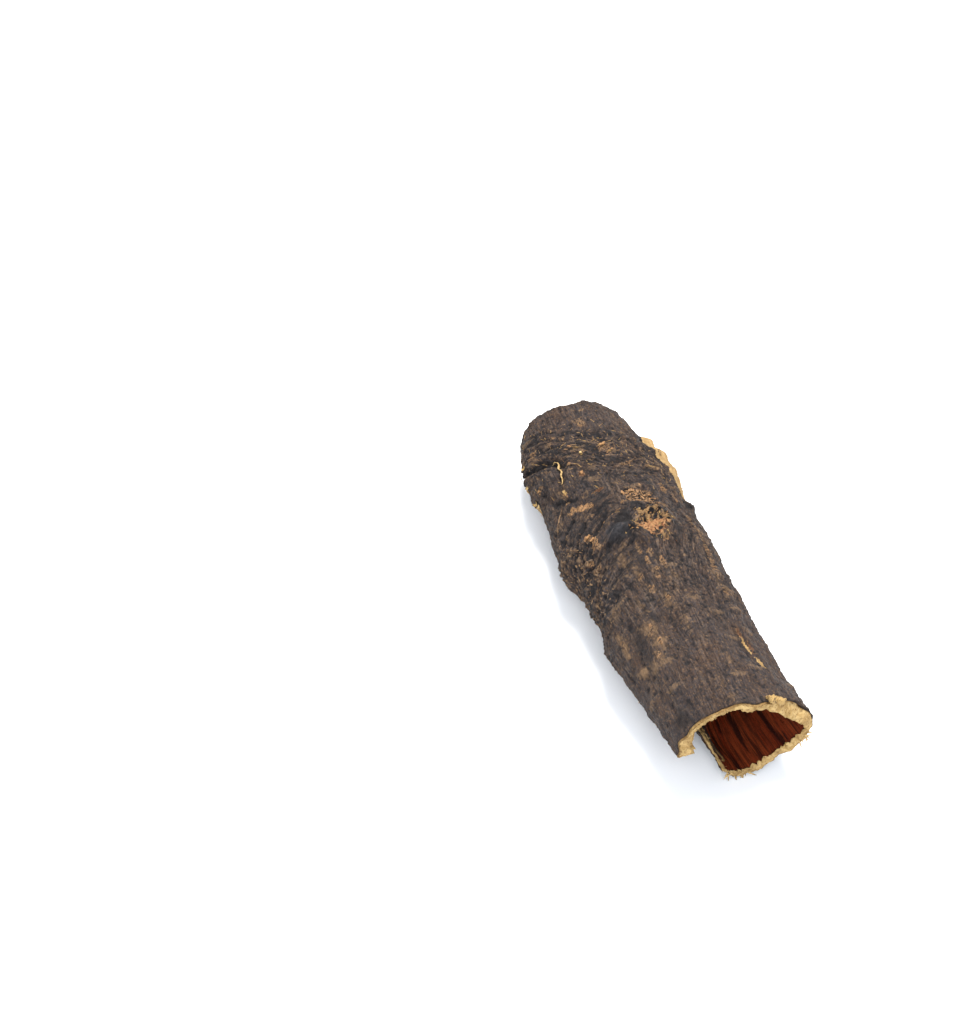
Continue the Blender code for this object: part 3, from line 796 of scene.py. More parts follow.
def cork_mesh():
    rims = cork_near, cork_far, cork_left, cork_right
    s, w = grid_places(CORK_GRID, *rims)
    back_s, back_w = grid_places(CORK_BACK_GRID, *rims)
    relief, pores = cad_relief(s, w)
    zone = zones(s, w)
    fine = fine_relief(s, w, zone)
    scar, torn, folds, band, strip, smooth = zone
    worn = np.maximum(patches(s, w, "worn"), 0.55 * patches(s, w, "faded"))
    tan, cream, rust = (patches(s, w, kind) for kind in ("tan", "cream", "rust"))
    orange = np.maximum(patches(s, w, "orange"), rust)
    sway = 0.0005 * rough(s, w, 0.0016, 0.0016, 93)
    # Painted shade in the crack: a dark line along it. The stain mask joins it to the dark patches
    # and to a faint darkening over the folds.
    crack_shade = hump(line_distance(s + sway, w, CRACK[:4]), 0.0, 0.00060)
    stain = np.maximum(np.maximum(patches(s, w, "dark"), crack_shade), 0.28 * folds)
    fine += 0.00022 * tan * (0.6 + 0.9 * rough(s, w, 0.0005, 0.0009, 92)) - 0.00020 * cream
    fine += ORANGE_RISE * orange * (0.6 + 1.4 * rough(s, w, 0.0005, 0.0012, 89))
    lip = lip_mask(s, w)
    trimmed = step(s, 0.0740, 0.0820) * (1 - step(s, 0.0836, 0.0850))
    fine = fine * (1 - 0.8 * lip) - LIP_TRIM * trimmed * hump(w, LIP_W, LIP_WIDTH)
    front = roll_points(s, w, wall_wave(s, w) + np.maximum(relief + fine, 2 * THINNEST - WALL))
    back_height = cork_floor(back_s, back_w, cad_relief(back_s, back_w)[0], CORK_THICKNESS,
                             cork_near(back_w), LENGTH - cork_far(back_w))
    back = roll_points(back_s, back_w, wall_wave(back_s, back_w) + back_height)
    points = np.concatenate([front, back])
    points[:, 2] = np.maximum(points[:, 2], 0.0)
    faces, border = grid_faces(CORK_GRID, 0, False)
    back_faces, back_border = grid_faces(CORK_BACK_GRID, len(front), True)
    mesh = new_mesh("cork grid", points, faces + back_faces + joined_borders(border, back_border))
    flat, spare = 0 * s, np.zeros(len(back))
    back_place = np.stack([back_s, back_w, spare + CORK_THICKNESS], axis=1)
    flows = {"place": (s, w), "flow_along": (s + 0.12 * w, round_scar(s, w)),
             "flow_across": (w, across_place(s, w))}
    for name, (first, second) in flows.items():
        store(mesh, name, np.concatenate([np.stack([first, second, flat], axis=1), back_place]))
    heart = hump(np.hypot(s - SCAR_HEART[0], w - SCAR_HEART[1]), 0.0, 0.0029)
    masks = {"relief": fine, "scar": scar, "torn": torn, "strip": strip, "smooth": smooth,
             "turned": np.clip(folds + band, 0, 1), "band": band, "worn": worn, "tan": tan,
             "lobe": hump(np.hypot((s - LOBE[0]) * 1.4, w - LOBE[1]), 0.0, LOBE_RADIUS),
             # stain holds the dark patches, the painted crack shade and a faint darkening over the
             # folds
             "orange": orange, "rust": rust, "cream": np.maximum(cream, lip), "stain": stain,
             "pores": pores, "heart": heart, "live": 1 + flat,
             "crumbly": scar * (1 - 0.80 * np.clip(1.3 * heart, 0, 1))}
    for name, values in masks.items():
        store(mesh, name, np.concatenate([values, spare]))
    return mesh


def cork_grain_tree():
    """Fine grain on the cork: bumps and hair cracks along the branch, pushed out by the normals."""
    nodes, given, made = shape_tree("cork grain", [
        ("Bump Height", "Float", 0.00005), ("Bump Size", "Float", 0.0006),
        ("Crack Depth", "Float", 0.00012), ("Crack Length", "Float", 0.0045),
        ("Crack Spacing", "Float", 0.0011), ("Seed", "Float", 3.0)])
    place = nodes.named("place", "FLOAT_VECTOR")
    seed = nodes.xyz(Z=given("Seed"))
    bump_place = nodes.vector("ADD", nodes.scaled(place, 1.0 / given("Bump Size")), seed)
    bump = (nodes.noise(bump_place, 1.0, 3.0) - 0.5) * given("Bump Height")
    along_bark = nodes.add("ShaderNodeSeparateXYZ", {0: place})
    crack_place = nodes.xyz(X=along_bark / given("Crack Length"),
                            Y=along_bark.also("Y") / given("Crack Spacing"), Z=given("Seed"))
    crack = nodes.fade(abs(nodes.noise(crack_place, 1.0, 1.0, 0.5) - 0.5), 0.0, 0.035, 1.0, 0.0)
    keep = 1.0 - nodes.named("smooth") * 0.55
    height = (bump * 2.0 - crack * given("Crack Depth")) * keep * nodes.named("live")
    offset = nodes.scaled(nodes.add("GeometryNodeInputNormal"), height)
    moved = nodes.add("GeometryNodeSetPosition", {"Geometry": given("Geometry"), "Offset": offset})
    kept = nodes.keep(moved, "relief", nodes.named("relief") + height, "POINT")
    return end_shape(nodes, given, made, kept)


def wear_and_shade_group():
    """Masks for worn tops and for painted shade in the hollows, from the relief of the surface in
    metres.
    """
    nodes, given, made = new_group(
        "relief wear and shade", "ShaderNodeTree",
        [("Relief", "Float", 0.0), ("Place", "Vector", None), ("Break Up", "Float", 0.5)],
        [("Tops", "Float", None), ("Hollows", "Float", None)])
    speck = (nodes.grain(given("Place"), (0.6, 0.6, 0.6), 4.0) - 0.5) * given("Break Up")
    level = given("Relief") * 4000.0 + speck
    made("Tops", nodes.fade(level, 0.10, 0.75))
    # The hollows mask is painted shade: 1 in the low places of the relief and 0 on the level.
    made("Hollows", nodes.fade(level, -0.85, -0.15, 1.0, 0.0))
    return nodes.tree


def fibre_group():
    """Thin streaks that run along the branch, from 0 to 1."""
    nodes, given, made = new_group(
        "bark fibres", "ShaderNodeTree",
        [("Place", "Vector", None), ("Length", "Float", 0.006), ("Width", "Float", 0.0003),
         ("Sway", "Float", 0.3)],
        [("Streaks", "Float", None), ("Lines", "Float", None)])
    parts = nodes.add("ShaderNodeSeparateXYZ", {0: given("Place")})
    where = nodes.xyz(X=parts / given("Length"), Y=parts.also("Y") / given("Width"),
                      Z=parts.also("Z") / given("Width"))
    wide = nodes.noise(where, 0.35, 3.0, given("Sway"))
    thin = nodes.noise(where, 1.0, 2.0, given("Sway"))
    made("Streaks", nodes.fade(wide * 0.6 + thin * 0.4, 0.32, 0.68))
    made("Lines", nodes.fade(abs(thin - 0.5), 0.0, 0.06, 1.0, 0.0))
    return nodes.tree


WEAR_AND_SHADE = wear_and_shade_group()
FIBRES = fibre_group()


def fibres(nodes, place, length, width, sway):
    """Streaks and thin lines of fibre, with their length and width in millimetres."""
    values = {"Place": place, "Length": length / 1000, "Width": width / 1000, "Sway": sway}
    streaks = nodes.add("ShaderNodeGroup", values, node_tree=FIBRES)
    return streaks, streaks.also("Lines")


def new_material(name, roughness, specular):
    material = bpy.data.materials.new(name)
    material.use_nodes = True
    shader = material.node_tree.nodes["Principled BSDF"]
    shader.inputs["Roughness"].default_value = roughness
    shader.inputs["Specular IOR Level"].default_value = specular
    return material, Nodes(material.node_tree), shader.inputs


CORK_COOL = (0.031, 0.025, 0.026, 1.0)
CORK_WARM = (0.053, 0.030, 0.019, 1.0)
CORK_WORN = (0.092, 0.054, 0.030, 1.0)
CORK_BLACK = (0.008, 0.007, 0.008, 1.0)
CORK_GREY = (0.108, 0.075, 0.054, 1.0)
# Painted reflection: a cool blue-grey, as of the sky on the lobe's sheen.
LOBE_REFLECTION_BLUE = (0.043, 0.043, 0.050, 1.0)
CORK_TAN = (0.180, 0.110, 0.058, 1.0)
CORK_ORANGE = (0.270, 0.142, 0.062, 1.0)
SCAR_RED = (0.190, 0.062, 0.026, 1.0)
SCAR_YELLOW = (0.195, 0.115, 0.050, 1.0)
CORK_RUST = (0.070, 0.030, 0.014, 1.0)
TORN_TAN = (0.260, 0.150, 0.074, 1.0)
BAST_CREAM = (0.455, 0.315, 0.140, 1.0)
BAST_YELLOW = (0.325, 0.210, 0.080, 1.0)
BAST_TAN = (0.250, 0.155, 0.060, 1.0)
LIP_CREAM = (0.370, 0.240, 0.105, 1.0)


def paint(nodes, shader, colour, height, depth, roughness=None):
    """Gives a shader its colour, its bump, depth metres deep, and its roughness."""
    values = {"Height": height, "Distance": depth, "Strength": 1.0}
    nodes.join(colour, shader["Base Color"])
    nodes.join(nodes.add("ShaderNodeBump", values), shader["Normal"])
    if roughness:
        nodes.join(roughness, shader["Roughness"])


def cork_material():
    material, nodes, shader = new_material("cork", 0.80, 0.22)
    mask, fade, layer = nodes.mask, nodes.fade, nodes.layer

    def ragged(name, grain, low, high, most=1.0):
        """A mask broken up by grain, which is 0 below low and most above high."""
        return fade(mask(name) + (grain - 0.5), low, high, 0.0, most)

    place = mask("place", "Vector")
    values = {"Relief": mask("relief"), "Place": place, "Break Up": 1.3}
    tops = nodes.add("ShaderNodeGroup", values, node_tree=WEAR_AND_SHADE)
    # Painted shade: the low places of the relief, darkened towards black below.
    hollow_shade = tops.also("Hollows")
    cloud = nodes.grain(place, (8.5, 5.0, 10.0), 4.0)
    mottle = nodes.grain(place, (1.7, 1.2, 1.0), 5.0, 0.5)
    speck = nodes.grain(place, (0.48, 0.42, 0.40), 5.0, 0.3)
    along_streaks, along_lines = fibres(nodes, mask("flow_along", "Vector"), 4.0, 0.36, 0.8)
    cross_streaks, cross_lines = fibres(nodes, mask("flow_across", "Vector"), 3.0, 0.36, 0.9)
    turn = ragged("turned", mottle, 0.30, 0.60)
    streaks = nodes.mix(turn, along_streaks, cross_streaks)
    lines = nodes.mix(turn, along_lines, cross_lines)
    calm = 1.0 - mask("smooth") * 0.55
    flecks = tops * mask("band") * fade(mottle, 0.54, 0.64)
    worn = layer(CORK_WORN, (fade(mottle, 0.40, 0.66), CORK_TAN))
    tan = layer(CORK_WARM, (fade(speck, 0.44, 0.60), CORK_TAN),
                (fade(cross_streaks, 0.50, 0.85, 0.0, 0.8), CORK_ORANGE),
                (cross_lines * 0.8, CORK_BLACK))
    # The branch scar: yellow crumbs, a rusty heart and black holes, its hollows painted black as
    # shade.
    heart = layer(SCAR_RED, (fade(speck, 0.36, 0.54), CORK_ORANGE))
    scar = layer(CORK_WORN, (fade(mottle, 0.38, 0.56), SCAR_YELLOW),
                 (fade(mottle, 0.50, 0.40), CORK_BLACK),
                 (ragged("heart", mottle, 0.30, 0.60), heart),
                 (fade(speck, 0.44, 0.34), CORK_RUST), (hollow_shade, CORK_BLACK))
    # The torn patch: tan layers and dark lines, its hollows painted black as shade.
    torn = layer(CORK_BLACK, (fade(cross_streaks, 0.30, 0.62), TORN_TAN),
                 (fade(speck, 0.54, 0.66, 0.0, 0.6), CORK_ORANGE),
                 (cross_lines * 0.9, CORK_BLACK), (hollow_shade, CORK_BLACK))
    orange = layer(CORK_TAN, (fade(speck, 0.40, 0.58), CORK_ORANGE),
                   (fade(speck, 0.44, 0.34), CORK_RUST), (cross_lines * 0.8, CORK_BLACK),
                   (mask("rust"), CORK_RUST))
    cream = layer(BAST_TAN, (fade(along_streaks, 0.25, 0.80), LIP_CREAM),
                  (fade(mottle, 0.46, 0.36, 0.0, 0.6), BAST_TAN))
    colour = layer(
        CORK_COOL, (fade(cloud * 0.6 + speck * 0.9, 0.55, 0.95), CORK_WARM),
        (fade(streaks, 0.50, 0.95, 0.0, 0.45) * calm, CORK_GREY),
        (lines * (calm * 0.65), CORK_BLACK), (fade(speck, 0.57, 0.70, 0.0, 0.38), CORK_TAN),
        (fade(speck, 0.44, 0.32, 0.0, 0.55), CORK_BLACK),
        # worn tops in tan, and the hollows 0.9 towards black as painted shade
        (tops * calm * 0.50, CORK_TAN), (flecks * 0.8, TORN_TAN), (hollow_shade * 0.90, CORK_BLACK),
        (ragged("worn", mottle, 0.25, 0.95, 0.60), worn),
        (mask("worn") * fade(speck, 0.48, 0.64, 0.0, 0.35), CORK_TAN),
        # painted reflection: the lobe half towards a cool blue-grey
        (ragged("lobe", mottle, 0.35, 0.90, 0.50), LOBE_REFLECTION_BLUE),
        # stain: dark patches, painted shade along the crack and a faint darkening over the folds,
        # 0.7 towards black
        (mask("stain") * 0.70, CORK_BLACK), (ragged("pores", speck, 0.55, 0.90, 0.35), CORK_TAN),
        (ragged("tan", speck, 0.45, 0.85, 0.90), tan), (ragged("scar", mottle, 0.30, 0.75), scar),
        (ragged("torn", speck, 0.35, 0.70), torn), (ragged("orange", speck, 0.35, 0.70), orange),
        (ragged("cream", speck, 0.35, 0.60), cream))
    height = (speck * 1.2 + streaks * 0.35 - lines * 0.45) * calm
    roughness = fade(mottle, 0.3, 0.7, 0.62, 0.90) - mask("lobe") * 0.10
    paint(nodes, shader, colour, height, 0.00032, roughness)
    return material


bark_cork = bark_piece("bark_cork", apply_tree(cork_mesh(), cork_grain_tree(), {
    "Bump Height": 0.00010, "Bump Size": 0.00055, "Crack Depth": 0.00014,
    "Crack Length": 0.0034, "Crack Spacing": 0.0015, "Seed": 3.0, "Finish": cork_material()}))
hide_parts("bark_quill")


# The bast: the fibrous inner bark that makes up most of the wall. It breaks to a pale crumbly
# rim with a scalloped inner edge, and its inside has dried dark red-brown with a straight grain.
BAST_GRID = (236, 150, 9)
BAST_COVER = 0.00030
TOOTH_SPACING = 0.0013
TOOTH_DEPTH = 0.00075
THIN_EDGE = 0.00070
RIGHT_SWELL = 0.00130
LEFT_SWELL = 0.00180
GRAIN_DEPTH = 0.00012
RIM_SHAKE = 0.00015
COARSE_SHAKE = 1900.0
FINE_SHAKE = 4300.0
ROW_CROWDING = 0.048
COLUMN_CROWDING = 0.032


def teeth(w, layer):
    """Rounded notches of uneven depth along an inner rim."""
    turn = math.pi * (w + 0.0008 * rough(0.0, w, 1.0, 0.0026, layer)) / TOOTH_SPACING
    depth = np.clip(0.55 + 0.9 * rough(0.0, w, 1.0, 0.0019, layer + 1), 0.05, 1.4)
    return np.abs(np.sin(turn)) ** 0.7 * depth


def bast_mesh():
    rows, columns, layers = BAST_GRID
    ids = -np.ones((rows + 1, columns + 1, layers + 1), dtype=int)
    shell = np.zeros(ids.shape, dtype=bool)
    shell[[0, -1]] = shell[:, [0, -1]] = shell[:, :, [0, -1]] = True
    ids[shell] = np.arange(shell.sum())
    i, j, k = np.nonzero(shell)
    # Rows and columns crowd towards the rims.
    u = i / rows - ROW_CROWDING * np.sin(2 * math.pi * i / rows)
    v = j / columns - COLUMN_CROWDING * np.sin(2 * math.pi * j / columns)
    t = k / layers
    left, right = left_edge(LENGTH * u), right_edge(LENGTH * u)
    w = left + (right - left) * v
    near_rim, far_rim = end_tear(w, 7), LENGTH - far_tear(w)
    near = near_rim + (BEVEL_LENGTH + 0.0009) * hump(w, 0.0130, 0.0050) * (1 - t) ** 1.5
    near = near + TOOTH_DEPTH * teeth(w, 100) * step(t, 0.60, 1.0)
    far = far_rim - TOOTH_DEPTH * teeth(w, 104) * step(t, 0.35, 1.0)
    s = near + (far - near) * u
    outer = cork_floor(s, w, cad_relief(s, w)[0], BAST_COVER, near_rim, far_rim)
    wall = WALL - THIN_EDGE * step(w, 0.0340, 0.0410)
    wall = wall + RIGHT_SWELL * hump(w, 0.0125, 0.0045) * (1 - step(s, 0.0010, 0.0090))
    wall = wall + LEFT_SWELL * hump(w, -0.0150, 0.0028) * (1 - step(s, 0.0008, 0.0050))
    grooves = creases(s, w, 0.0160, 0.00095, 110) + 0.6 * creases(s, w, 0.0070, 0.00055, 111)
    height = outer * (1 - t) - wall * t - step(t, 0.85, 1.0) * GRAIN_DEPTH * (1.1 - grooves)
    at_rim = np.minimum(np.minimum(s - near, far - s), np.minimum(w - left, right - w))
    rim = 1 - step(at_rim, 0.0, 0.0007)
    points = roll_points(s, w, wall_wave(s, w) + height)
    # The noise vectors follow this seed, which would otherwise come from the clock.
    noise.seed_set(SEED)
    shake = np.array([noise.noise_vector((p * COARSE_SHAKE).tolist()) for p in points])
    shake += 0.6 * np.array([noise.noise_vector((p * FINE_SHAKE).tolist()) for p in points])
    points += RIM_SHAKE * shake * rim[:, None]
    points[:, 2] = np.maximum(points[:, 2], 0.0)
    sides = [(ids[:, :, 0], 0), (ids[:, :, -1], 1), (ids[0], 1), (ids[-1], 0),
             (ids[:, 0], 0), (ids[:, -1], 1)]
    faces = []
    for side, turned in sides:
        quad = np.stack([side[:-1, :-1].ravel(), side[1:, :-1].ravel(),
                         side[1:, 1:].ravel(), side[:-1, 1:].ravel()], axis=1)
        faces += (quad[:, ::-1] if turned else quad).tolist()
    mesh = new_mesh("bast shell", points, faces)
    on_rim = ((i == 0) | (i == rows) | (j == 0) | (j == columns)).astype(float)
    store(mesh, "place", np.stack([s, w, t * WALL], axis=1))
    store(mesh, "level", t)
    store(mesh, "inside", step(t, 0.9, 1.0) * (1 - 0.75 * on_rim))
    store(mesh, "shake", 0.5 + 0.5 * shake[:, 0] * rim)
    return mesh


BAST_INSIDE = (0.088, 0.010, 0.003, 1.0)
BAST_INSIDE_BROWN = (0.150, 0.029, 0.008, 1.0)
BAST_INSIDE_DARK = (0.014, 0.003, 0.002, 1.0)
BAST_BROWN = (0.110, 0.055, 0.020, 1.0)


def bast_material():
    material, nodes, shader = new_material("bast", 0.80, 0.05)
    mask, fade, layer = nodes.mask, nodes.fade, nodes.layer
    place = mask("place", "Vector")
    long_streaks, long_lines = fibres(nodes, place, 18.0, 0.65, 0.15)
    fine_streaks, _ = fibres(nodes, place, 6.0, 0.22, 0.3)
    stain = nodes.grain(place, (12.0, 1.5, 2.0), 4.0, 0.25)
    speck = nodes.grain(place, (0.45, 0.30, 0.30), 4.0, 0.4)
    clump = nodes.grain(place, (1.6, 1.1, 1.0), 3.0, 0.3)
    weathered = nodes.grain(place, (4.2, 3.4, 4.0), 2.0)
    inner = layer(BAST_INSIDE, (long_streaks, BAST_INSIDE_BROWN),
                  (fade(fine_streaks, 0.55, 0.1, 0.0, 0.6), BAST_INSIDE_DARK),
                  (long_lines * 0.5, BAST_INSIDE_DARK),
                  (fade(stain, 0.53, 0.63, 0.0, 0.9), BAST_INSIDE_DARK))
    level = mask("level") + (speck - 0.5) * 0.5
    outer = layer(BAST_YELLOW, (fade(clump, 0.36, 0.58), BAST_CREAM),
                  (fade(weathered, 0.47, 0.60, 0.0, 0.65), BAST_TAN),
                  (fade(speck, 0.46, 0.34, 0.0, 0.50), BAST_BROWN),
                  (fade(mask("shake"), 0.40, 0.22, 0.0, 0.45), BAST_BROWN),
                  (fade(level, 0.14, 0.02, 0.0, 0.55), BAST_BROWN))
    worn = fade(mask("inside") + (clump - 0.5) * 0.9, 0.20, 0.50)
    roughness = fade(long_streaks, 0.0, 1.0, 0.60, 0.85)
    height = fine_streaks * 0.6 + speck * 0.6
    paint(nodes, shader, layer(outer, (worn, inner)), height, 0.00022, roughness)
    return material


bark_bast = bark_piece("bark_bast", bast_mesh(), bast_material())
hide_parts("bark_quill")


# Crumbs and flakes: bits of cork and bast that stand proud of the branch scar, the torn patch,
# the wrinkles and the ragged strip on the left. Each is a small closed lump, laid on the cork
# where it is loose and turned at random.
CRUMB_NOISE = 2600.0


def shaken(nodes, where, scale, reach):
    """A small offset every way, from noise at a place."""
    offset = nodes.noise(where, scale, 2.0, out="Color")
    return nodes.scaled(nodes.vector("SUBTRACT", offset, (0.5, 0.5, 0.5)), reach)


def scatter_tree():
    nodes, given, made = shape_tree("bark scatter", [
        ("Where", "String", "scar"), ("Amount", "Float", 1e6), ("Smallest", "Vector", (1, 1, 1)),
        ("Largest", "Vector", (1, 1, 1)), ("Tilt", "Float", 0.3), ("Turn", "Float", 3.14),
        ("Ragged", "Float", 0.0001), ("Seed", "Int", 1)])
    density = nodes.named(given("Where")) * given("Amount")
    values = {"Mesh": given("Geometry"), "Density": density, "Seed": given("Seed")}
    points = nodes.add("GeometryNodeDistributePointsOnFaces", values, distribute_method="RANDOM")

    def chance(low, high, step_on, kind="FLOAT"):
        first = 0 if kind == "FLOAT_VECTOR" else 2
        values = {first: low, first + 1: high, 8: given("Seed") + step_on}
        return nodes.add("FunctionNodeRandomValue", values, first // 2, data_type=kind)

    tilt, turn = given("Tilt"), given("Turn")
    spin = nodes.xyz(X=chance(tilt * -1.0, tilt, 11), Y=chance(tilt * -1.0, tilt, 12),
                     Z=chance(turn * -1.0, turn, 13))
    values = {0: points.also("Rotation"), 1: nodes.add("FunctionNodeEulerToRotation", {0: spin})}
    turned = nodes.add("FunctionNodeRotateRotation", values, rotation_space="LOCAL")
    lump = nodes.add("GeometryNodeMeshUVSphere", {"Radius": 0.5, "Segments": 7, "Rings": 5})
    size = chance(given("Smallest"), given("Largest"), 14, "FLOAT_VECTOR")
    values = {"Points": points, "Instance": lump, "Rotation": turned, "Scale": size}
    placed = nodes.add("GeometryNodeInstanceOnPoints", values)
    tinted = nodes.keep(placed, "tint", chance(0.0, 1.0, 15), "INSTANCE")
    real = nodes.add("GeometryNodeRealizeInstances", {"Geometry": tinted})
    shake = shaken(nodes, nodes.add("GeometryNodeInputPosition"), CRUMB_NOISE, given("Ragged"))
    moved = nodes.add("GeometryNodeSetPosition", {"Geometry": real, "Offset": shake})
    return end_shape(nodes, given, made, moved)


def crumb_material(name, colours):
    """A crumb finish: its colours in steps by each crumb's own tint, with fine grain."""
    material, nodes, shader = new_material(name, 0.8, 0.2)
    speck = nodes.grain(nodes.add("ShaderNodeTexCoord", out="Object"), (0.35, 0.35, 0.35), 4.0)
    tint = nodes.mask("tint") + (speck - 0.5) * 0.5
    turns = [at / len(colours) for at in range(1, len(colours))]
    steps = [nodes.fade(tint, turn - 0.06, turn + 0.06) for turn in turns]
    dark = (nodes.fade(speck, 0.46, 0.34, 0.0, 0.75), CORK_BLACK)
    colour = nodes.layer(colours[0], *zip(steps, colours[1:]), dark)
    paint(nodes, shader, colour, speck, 0.00012, nodes.fade(speck, 0.3, 0.7, 0.70, 0.90))
    return material


SCATTERED = [
    # name, mask, amount per square metre, smallest and largest in mm, tilt, turn, ragged, colours
    ("scar_crumbs", "crumbly", 3.6e6, (0.12, 0.10, 0.08), (0.95, 0.55, 0.36), 0.8, 3.14, 0.00040,
     [CORK_BLACK, CORK_RUST, SCAR_YELLOW, CORK_BLACK, BAST_YELLOW, CORK_BLACK, SCAR_YELLOW,
      CORK_ORANGE]),
    ("torn_flakes", "torn", 2.6e6, (0.50, 0.22, 0.06), (2.40, 0.70, 0.16), 0.32, 0.4, 0.00024,
     [CORK_WORN, CORK_BLACK, TORN_TAN, CORK_BLACK, TORN_TAN, CORK_ORANGE]),
    ("wrinkle_flakes", "band", 0.9e6, (0.30, 0.10, 0.05), (2.20, 0.30, 0.14), 0.30, 0.5, 0.00018,
     [CORK_BLACK, CORK_COOL, CORK_BLACK, CORK_WARM, CORK_TAN, BAST_TAN, CORK_WORN]),
    ("strip_crumbs", "strip", 1.8e6, (0.24, 0.16, 0.08), (1.10, 0.40, 0.24), 0.45, 0.9, 0.00022,
     [CORK_BLACK, CORK_COOL, CORK_WARM, CORK_WORN, CORK_GREY, CORK_TAN]),
]
FIRST_SCATTER_SEED = 20

scatter = scatter_tree()
for seed, row in enumerate(SCATTERED, FIRST_SCATTER_SEED):
    name, mask, amount, smallest, largest, tilt, turn, ragged, colours = row
    smallest, largest = mm(smallest, largest)
    bark_piece(name, apply_tree(bark_cork.data, scatter, {
        "Where": mask, "Amount": amount, "Smallest": smallest, "Largest": largest, "Tilt": tilt,
        "Turn": turn, "Ragged": ragged, "Seed": seed,
        "Finish": crumb_material(name.replace("_", " "), colours)}))


# Torn strands: the curled pale edge of the crack, a split line on the left, and the loose
# fibres of bast that stick out of the broken rims. Each is a thin closed strand on a path.
WOBBLE_NOISE = 1500.0
THICKNESS_NOISE = 2200.0


def strand_tree():
    nodes, given, made = shape_tree("bark strand", [
        ("Radius", "Float", 0.00008), ("Flatness", "Float", 1.0), ("Wobble", "Float", 0.0001),
        ("Spacing", "Float", 0.00012), ("Seed", "Float", 1.0)])
    path = nodes.add("GeometryNodeMeshToCurve", {0: given("Geometry")})
    values = {"Curve": path, "Length": given("Spacing")}
    path = nodes.add("GeometryNodeResampleCurve", values, mode="LENGTH")
    where = nodes.vector("ADD", nodes.add("GeometryNodeInputPosition"), nodes.xyz(Z=given("Seed")))
    shake = shaken(nodes, where, WOBBLE_NOISE, given("Wobble"))
    path = nodes.add("GeometryNodeSetPosition", {"Geometry": path, "Offset": shake})
    middle = abs(nodes.add("GeometryNodeSplineParameter", out="Factor") * 2.0 - 1.0)
    uneven = nodes.noise(where, THICKNESS_NOISE, 1.0) + 0.5
    thick = (1.05 - middle ** 2.0) * uneven * given("Radius")
    ring = nodes.add("GeometryNodeCurvePrimitiveCircle", {"Resolution": 6, "Radius": 1.0})
    values = {"Geometry": ring, "Scale": nodes.xyz(X=1.0, Y=given("Flatness"), Z=1.0)}
    ring = nodes.add("GeometryNodeTransform", values)
    values = {"Curve": path, "Profile Curve": ring, "Scale": thick, "Fill Caps": True}
    return end_shape(nodes, given, made, nodes.add("GeometryNodeCurveToMesh", values))


STRANDS = strand_tree()
STRAND_SPACING = 0.00014


def smooth_path(points, count):
    """Places on a smooth curve through points, each a tuple of the same length."""
    points = np.array(points, dtype=float)
    at = np.linspace(0, len(points) - 1, count)
    return np.stack([along(list(enumerate(column)), at) for column in points.T], axis=1)


def strand_piece(name, paths, radius, flatness, wobble, finish, seed):
    """One piece of strands; each path is an array of points in metres."""
    edges, first = [], 0
    for path in paths:
        edges += [(first + i, first + i + 1) for i in range(len(path) - 1)]
        first += len(path)
    lines = new_mesh(name + " path", np.concatenate(paths), [], edges)
    bark_piece(name, apply_tree(lines, STRANDS, {
        "Radius": radius, "Flatness": flatness, "Wobble": wobble, "Spacing": STRAND_SPACING,
        "Seed": seed, "Finish": finish}))


def on_cork(path, count, lift):
    """Points over the cork along a path of (s, w), lifted off it."""
    s, w = smooth_path(path, count).T
    relief = cad_relief(s, w)[0] + fine_relief(s, w, zones(s, w)) * 0.3
    return roll_points(s, w, wall_wave(s, w) + relief + lift)


def strand_material(name, light, dark):
    material, nodes, shader = new_material(name, 0.7, 0.2)
    speck = nodes.grain(nodes.add("ShaderNodeTexCoord", out="Object"), (0.4, 0.4, 0.4))
    paint(nodes, shader, nodes.layer(dark, (nodes.fade(speck, 0.38, 0.58), light)), speck, 0.00006)
    return material


CURL = mm((75.7, -10.6), (75.9, -9.9), (75.3, -9.3), (74.4, -9.3), (73.2, -9.6), (72, -9.4),
          (70.9, -9.9), (69.6, -10.1), (68.4, -10.6))
SPLIT = mm((63.6, -12.6), (62.2, -13.4), (60.6, -14.6), (59, -15.5), (57.5, -16.8))
pale_strand = strand_material("pale torn bark", BAST_CREAM, BAST_TAN)
brown_strand = strand_material("brown torn bark", CORK_TAN, CORK_WARM)
strand_piece("crack_lip", [on_cork(CURL, 60, 0.00022)], 0.00015, 2.2, 0.00050, pale_strand, 3.0)
strand_piece("split_lip", [on_cork(SPLIT, 40, 0.00006)], 0.00013, 1.4, 0.00040, brown_strand, 5.0)


END_FIBRES = 150
EDGE_FIBRES = 200
LONGEST_FIBRE = 0.0018


